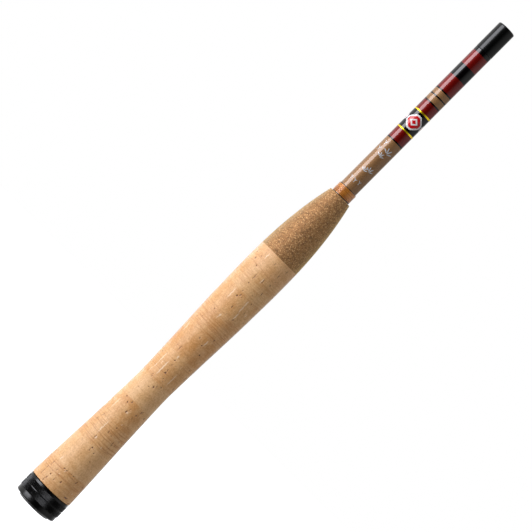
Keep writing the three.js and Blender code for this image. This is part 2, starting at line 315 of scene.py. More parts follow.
def screw_thread(root: float, crest: float, height: np.ndarray, pitch: float, columns: int) -> np.ndarray:
    """Radii of a right-hand thread: root to crest and back once each pitch up and each turn."""
    phase = height[:, None] / pitch - turns_round(columns)[None, :] / (2.0 * math.pi)
    return root + (crest - root) * np.clip(1.6 * saw_depth(phase) - 0.3, 0.0, 1.0)


# Pieces


class Finish(ABC):
    """A finish: the inputs of one principled shader."""

    name: str

    @abstractmethod
    def inputs(self, wiring: Wiring) -> Mapping[str, Any]:
        """Wires what varies and gives every input that the finish sets.

        Args:
            wiring: The wiring of the material's tree.

        Returns:
            Values or signals by the names of the shader's sockets.
        """

    @cache
    def material(self) -> bpy.types.Material:
        """Makes the material once, however many pieces wear it.

        Returns:
            The material.
        """
        material = bpy.data.materials.new(self.name)
        material.use_nodes = True
        wiring = Wiring(material.node_tree)
        shader = wiring.node("ShaderNodeBsdfPrincipled", inputs=self.inputs(wiring))
        wiring.node("ShaderNodeOutputMaterial", inputs={"Surface": shader})
        return material


def add_piece(
    name: str,
    surfaces: Sequence[Surface],
    finish: Finish,
    body: Body | str,
    replaces: Sequence[str] = (),
    crease: Crease = Crease.PLAIN,
) -> bpy.types.Object:
    """Fills one mesh with surfaces, dresses it and sets it on its body.

    Args:
        name: The piece's name.
        surfaces: What the mesh is made of.
        finish: Its finish.
        body: The body that it rides on.
        replaces: CAD nodes that it stands for.
        crease: Which edges stay sharp.

    Returns:
        The new object.
    """
    places, quads, fans, count = [], [], [], 0
    for surface in surfaces:
        own_quads, own_fans = surface.faces()
        places.append(surface.points[surface.kept()])
        quads.append(own_quads + count)
        fans.append(own_fans + count)
        count += len(places[-1])
    quad, fan = np.concatenate(quads), np.concatenate(fans)
    corners = np.concatenate([quad.ravel(), fan.ravel()]).astype(np.int32)
    starts = np.concatenate([np.arange(len(quad)) * 4, len(quad) * 4 + np.arange(len(fan)) * 3])

    mesh = bpy.data.meshes.new(name)
    mesh.vertices.add(count)
    mesh.vertices.foreach_set("co", (np.concatenate(places) * MM).astype(np.float32).ravel())
    mesh.loops.add(len(corners))
    mesh.loops.foreach_set("vertex_index", corners)
    mesh.polygons.add(len(starts))
    mesh.polygons.foreach_set("loop_start", starts.astype(np.int32))
    mesh.update(calc_edges=True)
    for trace in dict.fromkeys(key for surface in surfaces for key in surface.traces):
        fill_trace(mesh, trace, surfaces)
    mesh.shade_smooth()
    mesh.set_sharp_from_angle(angle=math.radians(crease.value))
    mesh.materials.append(finish.material())

    piece = bpy.data.objects.new(name, mesh)
    bpy.context.scene.collection.objects.link(piece)
    carrier = body.value if isinstance(body, Body) else body
    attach(piece, carrier)
    if replaces:
        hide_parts(*replaces)
    log.info("%s: %d faces on %s", name, len(starts), carrier)
    return piece


def fill_trace(mesh: bpy.types.Mesh, trace: str, surfaces: Sequence[Surface]) -> None:
    """Lays one trace on the vertices.

    Args:
        mesh: The mesh, whose vertices are the surfaces' kept points in order.
        trace: The trace's name.
        surfaces: What the mesh is made of; one without the trace counts as zero.
    """
    sample = next(surface.traces[trace] for surface in surfaces if trace in surface.traces)
    kind, key = ("FLOAT_COLOR", "color") if sample.ndim == 3 else ("FLOAT", "value")
    parts = []
    for surface in surfaces:
        kept = surface.kept()
        shape = kept.shape + sample.shape[2:]
        parts.append(np.broadcast_to(surface.traces.get(trace, np.zeros(shape)), shape)[kept])
    attribute = mesh.attributes.new(trace, kind, "POINT")
    attribute.data.foreach_set(key, np.concatenate(parts).astype(np.float32).ravel())


# Shading


class Signal:
    """One socket of a node tree; sums written with it become Math nodes."""

    def __init__(self, wiring: Wiring, socket: bpy.types.NodeSocket) -> None:
        """Wraps a socket of the tree that the wiring fills."""
        self.wiring = wiring
        self.socket = socket

    def output(self, key: int | str) -> Signal:
        """Another output of the same node."""
        return Signal(self.wiring, self.socket.node.outputs[key])

    def _math(self, operation: str, first: Any, second: Any) -> Signal:
        """Adds a Math node on two values."""
        return self.wiring.node("ShaderNodeMath", {"operation": operation}, {0: first, 1: second})

    def __add__(self, other: Signal | float) -> Signal:
        """Sum."""
        return self._math("ADD", self, other)

    __radd__ = __add__

    def __sub__(self, other: Signal | float) -> Signal:
        """Difference."""
        return self._math("SUBTRACT", self, other)

    def __rsub__(self, other: float) -> Signal:
        """Difference from a number."""
        return self._math("SUBTRACT", other, self)

    def __mul__(self, other: Signal | float) -> Signal:
        """Product."""
        return self._math("MULTIPLY", self, other)

    __rmul__ = __mul__

    def __truediv__(self, other: Signal | float) -> Signal:
        """Quotient."""
        return self._math("DIVIDE", self, other)

    def __rtruediv__(self, other: float) -> Signal:
        """Quotient of a number."""
        return self._math("DIVIDE", other, self)


class Wiring:
    """Fills one node tree."""

    def __init__(self, tree: bpy.types.NodeTree) -> None:
        """Empties the tree."""
        self.tree = tree
        tree.nodes.clear()

    def node(
        self,
        kind: str,
        settings: Mapping[str, Any] | None = None,
        inputs: Mapping[int | str, Any] | None = None,
        output: int | str = 0,
    ) -> Signal:
        """Adds a node.

        Args:
            kind: Its type.
            settings: Its properties, and ``stops`` of a colour ramp as (place, level) pairs.
            inputs: Values or signals for its sockets.
            output: The output to return.

        Returns:
            A signal of that output.
        """
        node = self.tree.nodes.new(kind)
        for key, value in (settings or {}).items():
            if key == "stops":
                fill_ramp(node.color_ramp, value)
            else:
                setattr(node, key, value)
        for key, value in (inputs or {}).items():
            socket = node.inputs[key]
            if isinstance(value, Signal):
                self.tree.links.new(value.socket, socket)
            elif socket.type == "RGBA":
                socket.default_value = (*value, 1.0)
            else:
                socket.default_value = value
        return Signal(self, node.outputs[output] if len(node.outputs) else None)

    def places(self, scale: Triple = (1.0, 1.0, 1.0), shift: Triple = (0.0, 0.0, 0.0)) -> Signal:
        """Object coordinates in millimetres, scaled along each axis and shifted.

        Args:
            scale: Factors along x, y and z.
            shift: What is added after them.

        Returns:
            The vector.
        """
        raw = self.node("ShaderNodeTexCoord", output="Object")
        per_metre = tuple(PER_METRE * s for s in scale)
        settings = {"Vector": raw, "Scale": per_metre, "Location": shift}
        return self.node("ShaderNodeMapping", inputs=settings)

    def noise(self, vector: Signal, detail: float = 2.0, roughness: float = 0.5) -> Signal:
        """Noise of about one wave a unit of the vector, around a half."""
        settings = {"Vector": vector, "Scale": 1.0, "Detail": detail, "Roughness": roughness}
        return self.node("ShaderNodeTexNoise", inputs=settings)

    def grain(
        self, scale: Triple, detail: float = 2.0, roughness: float = 0.5, shift: Triple = (0.0, 0.0, 0.0)
    ) -> Signal:
        """Noise with so many waves a millimetre along x, y and z."""
        return self.noise(self.places(scale, shift), detail, roughness)

    def step(self, value: Signal, low: float, high: float) -> Signal:
        """Rises smoothly from 0 where the value is low to 1 where it is high."""
        limits = {"Value": value, "From Min": low, "From Max": high}
        return self.node("ShaderNodeMapRange", {"interpolation_type": "SMOOTHSTEP"}, limits)

    def blend(self, share: Signal | float, first: Any, second: Any) -> Signal:
        """Mixes two colours; the share is the second's."""
        return self.node("ShaderNodeMix", {"data_type": "RGBA"}, {0: share, 6: first, 7: second}, output=2)

    def glaze(self, ground: Any, coats: Sequence[tuple[Signal, Colour]]) -> Signal:
        """Lays colours over a ground, one after another.

        Args:
            ground: The colour or signal underneath.
            coats: The share that each covers, and its colour.

        Returns:
            The colour on top.
        """
        for share, colour in coats:
            ground = self.blend(share, ground, colour)
        return ground

    def trace(self, name: str, output: str = "Fac") -> Signal:
        """Values laid on the mesh."""
        return self.node("ShaderNodeAttribute", {"attribute_name": name}, output=output)

    def bump(self, height: Signal, depth: float) -> Signal:
        """Normals of a relief whose height signal, from 0 to 1, spans a depth in millimetres."""
        settings = {"Height": height, "Distance": depth * MM, "Strength": 1.0}
        return self.node("ShaderNodeBump", inputs=settings)


def fill_ramp(ramp: bpy.types.ColorRamp, stops: Sequence[tuple[float, float]]) -> None:
    """Sets grey stops.

    Args:
        ramp: A new ramp, which has two.
        stops: Pairs of a place and a level, both from 0 to 1.
    """
    while len(ramp.elements) < len(stops):
        ramp.elements.new(1.0)
    for element, (place, level) in zip(ramp.elements, stops):
        element.position = place
        element.color = (level, level, level, 1.0)


# Finishes


@dataclass(frozen=True)
class Lacquer(Finish):
    """Glossy rod lacquer; its colour and its bare, sanded stretches are traces on the mesh."""

    name: str
    clear_roughness: float = 0.07
    shadow: Colour = (0.0, 0.0, 0.0)
    fibre_grey: Colour = (0.05, 0.05, 0.05)

    def inputs(self, wiring: Wiring) -> Mapping[str, Any]:
        """Flake under a clear coat, a faint clouding, and no coat where the tube is sanded bare.

        Args:
            wiring: The wiring of the material's tree.

        Returns:
            The shader's inputs.
        """
        bare = wiring.trace("bare")
        fibre = wiring.grain((3.0, 3.0, 0.12), 3.0, 0.6)
        cloud = wiring.grain((0.25, 0.25, 0.06))
        wave = wiring.grain((0.3, 0.3, 0.06), 1.0)
        coats = (
            (wiring.step(cloud, 0.3, 0.75) * 0.12, self.shadow),
            (bare * wiring.step(fibre, 0.42, 0.66), self.fibre_grey),
        )
        return {
            "Base Color": wiring.glaze(wiring.trace("paint", "Color"), coats),
            "Metallic": wiring.trace("paint", "Alpha"),
            "Roughness": fibre * 0.04 + 0.58 - bare * 0.12,
            "Specular IOR Level": 0.0,
            "Coat Weight": 1.0 - bare * 0.7,
            "Coat Roughness": self.clear_roughness,
            "Normal": wiring.bump(wave + bare * fibre * 2.0, 0.002),
        }


class CorkTone(Enum):
    """Colours in natural cork."""

    PALE = (0.82, 0.487, 0.219)
    DEEP = (0.70, 0.382, 0.146)
    CLOUD = (0.62, 0.27, 0.062)
    DARK_SPECK = (0.48, 0.225, 0.066)
    LIGHT_SPECK = (0.94, 0.64, 0.34)
    CELL = (0.56, 0.255, 0.08)
    FAINT_LINE = (0.60, 0.25, 0.058)
    CHIEF_LINE = (0.47, 0.175, 0.036)
    LIGHT_FLECK = (0.95, 0.70, 0.46)
    DARK_FLECK = (0.34, 0.14, 0.05)
    FILLER = (0.95, 0.74, 0.50)
    PIT_EDGE = (0.42, 0.155, 0.037)
    PIT_FLOOR = (0.15, 0.055, 0.020)


@dataclass(frozen=True)
class NaturalCork(Finish):
    """Turned natural cork.

    Attributes:
        name: The material's name.
        tint: Colour that the ring's own cork leans to.
        grain: Strength of its growth lines.
        flecks: Strength of its lengthwise flecks.
        swirl: How far its growth lines wander, in millimetres.
        cloud: Strength of its orange clouds.
    """

    name: str
    tint: Colour
    grain: float
    flecks: float
    swirl: float
    cloud: float

    def inputs(self, wiring: Wiring) -> Mapping[str, Any]:
        """Growth lines round the ring, clouds, lengthwise flecks, pits, pale filler and fine cells.

        Args:
            wiring: The wiring of the material's tree.

        Returns:
            The shader's inputs.
        """
        wander = wiring.grain((0.11, 0.11, 0.05), shift=(3.0, 5.0, 0.0))
        sheet = wiring.node("ShaderNodeCombineXYZ", inputs={"Z": (wander - 0.5) * self.swirl * 4.0})
        fine = self.layers(wiring, (0.07, 0.07, 1.15), sheet)
        broad = self.layers(wiring, (0.03, 0.03, 0.34), sheet)
        lines = wiring.step(fine, 0.5, 0.66)
        clouds = wiring.grain((0.16, 0.16, 0.1), 3.0)
        orange = wiring.step(wiring.grain((0.13, 0.13, 0.09), 3.0, 0.6, (4.0, 1.0, 6.0)), 0.42, 0.62)
        cells = wiring.grain((2.6, 2.6, 2.6), 3.0, 0.6)
        speck = wiring.grain((1.2, 1.2, 1.0), 3.0, 0.7, (0.0, 2.0, 4.0))
        fleck = wiring.grain((1.5, 1.5, 0.2), shift=(7.0, 0.0, 2.0))
        patch = wiring.step(wiring.grain((0.2, 0.2, 0.16), shift=(0.0, 9.0, 0.0)), 0.45, 0.62)
        flecked = wiring.step(fleck, 0.64, 0.73) * patch * self.flecks
        white = wiring.step(1.0 - fleck, 0.64, 0.75) * patch * self.flecks
        broken = wiring.trace("pits") + (cells - 0.5) * 1.3 + (speck - 0.5) * 0.9
        relief = cells * 0.5 + fine * 0.3 - flecked * 0.4 - lines * 0.2

        pale, deep = (
            tuple(c * t for c, t in zip(tone.value, self.tint)) for tone in (CorkTone.PALE, CorkTone.DEEP)
        )
        body = wiring.blend(wiring.step(broad * 0.6 + clouds * 0.4, 0.36, 0.66), pale, deep)
        coats = (
            (orange * self.cloud, CorkTone.CLOUD),
            (wiring.step(speck, 0.48, 0.68) * 0.56, CorkTone.DARK_SPECK),
            (wiring.step(1.0 - speck, 0.5, 0.70) * 0.52, CorkTone.LIGHT_SPECK),
            (wiring.step(cells, 0.35, 0.7) * 0.26, CorkTone.CELL),
            (lines * (0.5 * self.grain), CorkTone.FAINT_LINE),
            (wiring.trace("grain") * 0.75, CorkTone.CHIEF_LINE),
            (white * 0.5, CorkTone.LIGHT_FLECK),
            (flecked * 0.6, CorkTone.DARK_FLECK),
            (wiring.trace("filler") * 0.7, CorkTone.FILLER),
            (wiring.step(broken, 0.26, 0.55) * 0.7, CorkTone.PIT_EDGE),
            (wiring.step(broken, 0.44, 0.86) * 0.9, CorkTone.PIT_FLOOR),
        )
        return {
            "Base Color": wiring.glaze(body, [(share, tone.value) for share, tone in coats]),
            "Roughness": cells * 0.16 + 0.47,
            "Normal": wiring.bump(relief, 0.025),
            "Specular IOR Level": 0.65,
            "Sheen Weight": 0.65,
            "Sheen Roughness": 0.3,
            "Sheen Tint": (0.72, 0.94, 1.0),
        }

    def layers(self, wiring: Wiring, scale: Triple, sheet: Signal) -> Signal:
        """Noise stretched round the ring, on heights that wander.

        Args:
            wiring: The wiring of the material's tree.
            scale: Waves a millimetre along x, y and z.
            sheet: A vector whose z is how far the heights have wandered, in millimetres.

        Returns:
            The noise.
        """
        terms = {0: sheet, 1: (0.0, 0.0, scale[2]), 2: wiring.places(scale)}
        moved = wiring.node("ShaderNodeVectorMath", {"operation": "MULTIPLY_ADD"}, terms)
        return wiring.noise(moved, 3.0, 0.62)


@dataclass(frozen=True)
class CompositeCork(Finish):
    """Pressed cork granules in a darker binder.

    Attributes:
        name: The material's name.
        coarse_rate: Larger granules a millimetre.
        small_rate: Smaller granules a millimetre.
        bend: How far the granules' outlines are bent, in millimetres.
        deep: The darkest of most granules.
        pale: The lightest of most granules.
        light_fleck: Colour of a few small granules.
        dark_fleck: Colour of a few large granules.
        binder: Colour of the gaps between them.
    """

    name: str
    coarse_rate: float = 1.1
    small_rate: float = 2.2
    bend: float = 0.9
    deep: Colour = (0.29, 0.130, 0.040)
    pale: Colour = (0.51, 0.252, 0.086)
    light_fleck: Colour = (0.82, 0.51, 0.23)
    dark_fleck: Colour = (0.15, 0.066, 0.020)
    binder: Colour = (0.12, 0.055, 0.02)

    def inputs(self, wiring: Wiring) -> Mapping[str, Any]:
        """Two sizes of granules, each with a tone of its own, dark gaps and scattered pale flecks.

        Args:
            wiring: The wiring of the material's tree.

        Returns:
            The shader's inputs.
        """
        base = wiring.places()
        waves = {"Vector": base, "Scale": self.coarse_rate, "Detail": 2.0}
        jitter = wiring.node("ShaderNodeTexNoise", inputs=waves, output=1)
        terms = {0: jitter, 1: (self.bend,) * 3, 2: base}
        bent = wiring.node("ShaderNodeVectorMath", {"operation": "MULTIPLY_ADD"}, terms)
        coarse, gap = self.granules(wiring, bent, self.coarse_rate)
        small, small_gap = self.granules(wiring, bent, self.small_rate)
        fine = wiring.grain((2.0, 2.0, 2.0), 3.0, 0.7)
        drift = wiring.grain((0.12, 0.12, 0.12), 3.0, 0.6)
        tone = wiring.step(coarse * 0.35 + small * 0.35 + fine * 0.4 + drift * 0.3, 0.35, 1.05)
        gaps = wiring.step(1.0 - gap * 1.5, 0.75, 1.0) * 0.34
        dark = gaps + wiring.step(1.0 - small_gap * 2.4, 0.75, 1.0) * 0.25
        coats = (
            (wiring.step(small, 0.80, 0.90) * 0.75, self.light_fleck),
            (wiring.step(1.0 - coarse, 0.82, 0.92) * 0.5, self.dark_fleck),
            (dark, self.binder),
        )
        return {
            "Base Color": wiring.glaze(wiring.blend(tone, self.deep, self.pale), coats),
            "Metallic": 0.46,
            "Roughness": fine * 0.2 + 0.56,
            "Normal": wiring.bump(fine * 0.5 - dark * 0.8 + tone * 0.3, 0.06),
            "Specular IOR Level": 0.6,
            "Sheen Weight": 1.0,
            "Sheen Roughness": 0.48,
            "Sheen Tint": (1.0, 0.76, 0.34),
        }

    def granules(self, wiring: Wiring, bent: Signal, rate: float) -> tuple[Signal, Signal]:
        """One size of granules.

        Args:
            wiring: The wiring of the material's tree.
            bent: Bent places.
            rate: Granules a millimetre.

        Returns:
            A random tone for every granule, and the distance to its edge.
        """
        settings = {"Vector": bent, "Scale": rate}
        cell = wiring.node("ShaderNodeTexVoronoi", inputs=settings, output="Color")
        tone = wiring.node("ShaderNodeSeparateColor", inputs={"Color": cell})
        edge = wiring.node("ShaderNodeTexVoronoi", {"feature": "DISTANCE_TO_EDGE"}, settings)
        return tone, edge


@dataclass(frozen=True)
class BlackMetal(Finish):
    """Black anodised aluminium with turning marks."""

    name: str
    roughness: float = 0.25
    level: float = 0.032

    def inputs(self, wiring: Wiring) -> Mapping[str, Any]:
        """Fine rings from the lathe and slight wear in the sheen.

        Args:
            wiring: The wiring of the material's tree.

        Returns:
            The shader's inputs.
        """
        rings = wiring.grain((0.05, 0.05, 9.0))
        haze = wiring.grain((0.3, 0.3, 0.3), 3.0)
        worn = wiring.step(haze, 0.35, 0.8) * 0.3
        return {
            "Base Color": wiring.blend(worn, (self.level,) * 3, (self.level * 1.5,) * 3),
            "Metallic": 1.0,
            "Roughness": rings * 0.08 + haze * 0.06 + (self.roughness - 0.07),
            "Normal": wiring.bump(rings, 0.0008),
        }


@dataclass(frozen=True)
class SoftBlack(Finish):
    """Rubber or moulded plastic: black with a fine surface of its own.

    Attributes:
        name: The material's name.
        level: Its grey.
        roughness: Its mean roughness.
        texture: Waves of its grain a millimetre.
        depth: The grain's depth in millimetres.
        gloss: Strength of its reflections, 0.5 for plain plastic.
    """

    name: str
    level: float
    roughness: float
    texture: float = 3.0
    depth: float = 0.02
    gloss: float = 0.5

    def inputs(self, wiring: Wiring) -> Mapping[str, Any]:
        """Grain in the surface and a cloudy sheen.

        Args:
            wiring: The wiring of the material's tree.

        Returns:
            The shader's inputs.
        """
        grain = wiring.grain((self.texture,) * 3, 3.0, 0.6)
        cloud = wiring.grain((0.2, 0.2, 0.2))
        return {
            "Base Color": wiring.blend(cloud, (self.level,) * 3, (self.level * 1.7,) * 3),
            "Roughness": grain * 0.08 + cloud * 0.08 + (self.roughness - 0.08),
            "Specular IOR Level": self.gloss,
            "Normal": wiring.bump(grain, self.depth),
        }


@dataclass(frozen=True)
class Foam(Finish):
    """Closed-cell foam of the cap's pad, with painted shade in its pores."""

    name: str
    # Colour of the painted shade in the pore bottoms.
    pore_shade: Colour = (0.02, 0.02, 0.022)
    skin: Colour = (0.085, 0.085, 0.09)

    def inputs(self, wiring: Wiring) -> Mapping[str, Any]:
        """Small pores whose bottoms are darkened with painted shade.

        Args:
            wiring: The wiring of the material's tree.

        Returns:
            The shader's inputs.
        """
        pores = wiring.node("ShaderNodeTexVoronoi", inputs={"Vector": wiring.places(), "Scale": 2.4})
        rim = wiring.step(pores, 0.1, 0.45)
        return {
            # The pore colour darkens the pore bottoms, which the bump sinks: painted shade in the recesses.
            "Base Color": wiring.blend(rim, self.pore_shade, self.skin),
            "Roughness": rim * 0.1 + 0.85,
            "Normal": wiring.bump(rim, 0.15),
        }


@dataclass(frozen=True)
class WoundThread(Finish):
    """Winding thread under clear varnish."""

    name: str
    colour: Colour = (0.60, 0.222, 0.016)
    dark: Colour = (0.35, 0.108, 0.006)

    def inputs(self, wiring: Wiring) -> Mapping[str, Any]:
        """Filaments along the thread, soaked darker here and there.

        Args:
            wiring: The wiring of the material's tree.

        Returns:
            The shader's inputs.
        """
        filament = wiring.grain((0.5, 0.5, 9.0))
        turns = wiring.grain((0.1, 0.1, 1.7), 1.0)
        soaked = wiring.grain((0.25, 0.25, 0.5))
        shade = wiring.step(filament * 0.15 + turns * 0.7 + soaked * 0.15, 0.4, 0.6)
        return {
            "Base Color": wiring.blend(shade, self.colour, self.dark),
            "Metallic": 0.46,
            "Roughness": filament * 0.08 + 0.46,
            "Normal": wiring.bump(filament, 0.0006),
            "Coat Weight": 1.0,
            "Coat Roughness": 0.2,
        }


@dataclass(frozen=True)
class Foil(Finish):
    """Metal foil or metallic paint.

    Attributes:
        name: The material's name.
        colour: Its own colour.
        dull: Its colour in duller patches.
        roughness: Its mean roughness.
        metal: How far it is metal.
        coat: Strength of the clear coat over it.
    """

    name: str
    colour: Colour
    dull: Colour
    roughness: float = 0.3
    metal: float = 1.0
    coat: float = 0.0

    def inputs(self, wiring: Wiring) -> Mapping[str, Any]:
        """A brushed grain and duller patches.

        Args:
            wiring: The wiring of the material's tree.

        Returns:
            The shader's inputs.
        """
        brushed = wiring.grain((0.4, 0.4, 6.0))
        cloud = wiring.grain((0.5, 0.5, 0.5))
        return {
            "Base Color": wiring.blend(wiring.step(cloud, 0.4, 0.75) * 0.6, self.colour, self.dull),
            "Metallic": self.metal,
            "Roughness": brushed * 0.1 + cloud * 0.1 + (self.roughness - 0.1),
            "Normal": wiring.bump(brushed, 0.004),
            "Coat Weight": self.coat,
            "Coat Roughness": 0.08,
        }


@dataclass(frozen=True)
class Enamel(Finish):
    """Plain glossy paint."""

    name: str
    colour: Colour
    roughness: float = 0.16

    def inputs(self, wiring: Wiring) -> Mapping[str, Any]:
        """Faint brush flow.

        Args:
            wiring: The wiring of the material's tree.

        Returns:
            The shader's inputs.
        """
        flow = wiring.grain((0.9, 0.9, 0.35))
        shade = tuple(c * 0.8 for c in self.colour)
        return {
            "Base Color": wiring.blend(wiring.step(flow, 0.35, 0.75), self.colour, shade),
            "Roughness": flow * 0.1 + (self.roughness - 0.05),
            "Normal": wiring.bump(flow, 0.01),
        }


TAN_AND_MAROON = Lacquer("banded lacquer")
SECTION_LACQUER = Lacquer("section lacquer", 0.12)
BLACK_ANODISED = BlackMetal("black anodised metal")
FOOT_RUBBER = SoftBlack("foot rubber", 0.009, 0.38, 2.5, 0.008, 0.8)
RING_RUBBER = SoftBlack("ring rubber", 0.008, 0.35, 4.0, 0.01)
PLUG_PLASTIC = SoftBlack("plug plastic", 0.0012, 0.21, 1.2, 0.0015, 0.34)
PAD_FOAM = Foam("pad foam")
ORANGE_THREAD = WoundThread("orange thread")
DARK_THREAD = WoundThread("dark thread", (0.05, 0.018, 0.008), (0.02, 0.008, 0.004))
YELLOW_THREAD = Foil("yellow metal thread", (1.0, 0.74, 0.006), (0.90, 0.62, 0.004), 0.34, 1.0, 0.45)
SILVER_PAINT = Foil("silver paint", (0.56, 0.58, 0.60), (0.34, 0.34, 0.35), 0.55, 0.35, 0.6)
RED_ENAMEL = Enamel("red enamel", (0.62, 0.008, 0.012))
WHITE_ENAMEL = Enamel("white enamel", (0.80, 0.78, 0.76))
RED_TUBE = Enamel("red tube", (0.40, 0.012, 0.010), 0.3)
PRESSED_CORK = CompositeCork("pressed cork")


# Handle blank


@dataclass(frozen=True)
class Band:
    """A stretch of lacquer up to a height."""

    top: float
    paint: Paint


@dataclass
class Blank:
    """The handle blank with its lacquer bands."""

    bottom: float = 24.0
    mouth: float = 383.6
    mouth_radius: float = 6.0
    taper_share: float = 0.001
    wall: float = 0.6
    chamfer: float = 0.2
    columns: int = 128
    plain_rows: int = 24
    bands: tuple[Band, ...] = (
        Band(307.55, Paint.TAN),
        Band(308.5, Paint.BLACK),
        Band(316.7, Paint.MAROON),
        Band(331.5, Paint.BLACK),
        Band(339.15, Paint.MAROON),
        Band(340.15, Paint.BLACK),
        Band(344.3, Paint.TAN),
        Band(345.25, Paint.BLACK),
        Band(349.1, Paint.TAN),
        Band(350.05, Paint.BLACK),
        Band(361.05, Paint.MAROON),
        Band(370.25, Paint.BLACK),
        Band(380.85, Paint.MAROON),
        Band(383.6, Paint.BLACK),
    )

    def radius_at(self, height: np.ndarray | float) -> np.ndarray | float:
        """Outer radius: half the mouth's diameter and the taper's share of the height below it."""
        return self.mouth_radius + self.taper_share * (self.mouth - height) / 2.0

    def build(self) -> None:
        """A tapered tube whose rows come in close pairs at every change of lacquer."""
        edges = np.array([band.top for band in self.bands[:-1]])
        paired = np.stack([edges - HAIR, edges + HAIR], axis=-1).ravel()
        plain = np.linspace(self.bottom, edges[0] - 1.0, self.plain_rows)
        heights = np.concatenate([plain, paired, [self.mouth - self.chamfer]])
        outside = path(
            (self.radius_at(self.bottom) - self.wall, self.bottom),
            np.stack([self.radius_at(heights), heights], axis=-1),
            (self.mouth_radius - self.chamfer, self.mouth),
            (self.mouth_radius - self.wall, self.mouth),
        )
        which = np.searchsorted(edges, outside[:, 1])
        paints = np.array([band.paint.value for band in self.bands])
        tube = lathe(outside, self.columns, ring=True, traces={"paint": paints[which]})
        add_piece("lacquered_blank", [tube], TAN_AND_MAROON, Body.HANDLE, ["handle_blank"])


class Spray(Enum):
    """How the leaves of a sprig stand: each as (round, along, lean), in sizes of the sprig."""

    FAN = ((-0.42, 0.1, -62.0), (-0.12, 0.34, -22.0), (0.26, 0.3, 24.0), (0.5, -0.06, 66.0))
    TRIO = ((-0.2, 0.2, -38.0), (0.24, 0.12, 40.0), (0.04, -0.42, 4.0))


@dataclass(frozen=True)
class Sprig:
    """A sprig of leaves: its spray, its turn and height on the blank, and its size."""

    spray: Spray
    turn: float
    height: float
    size: float


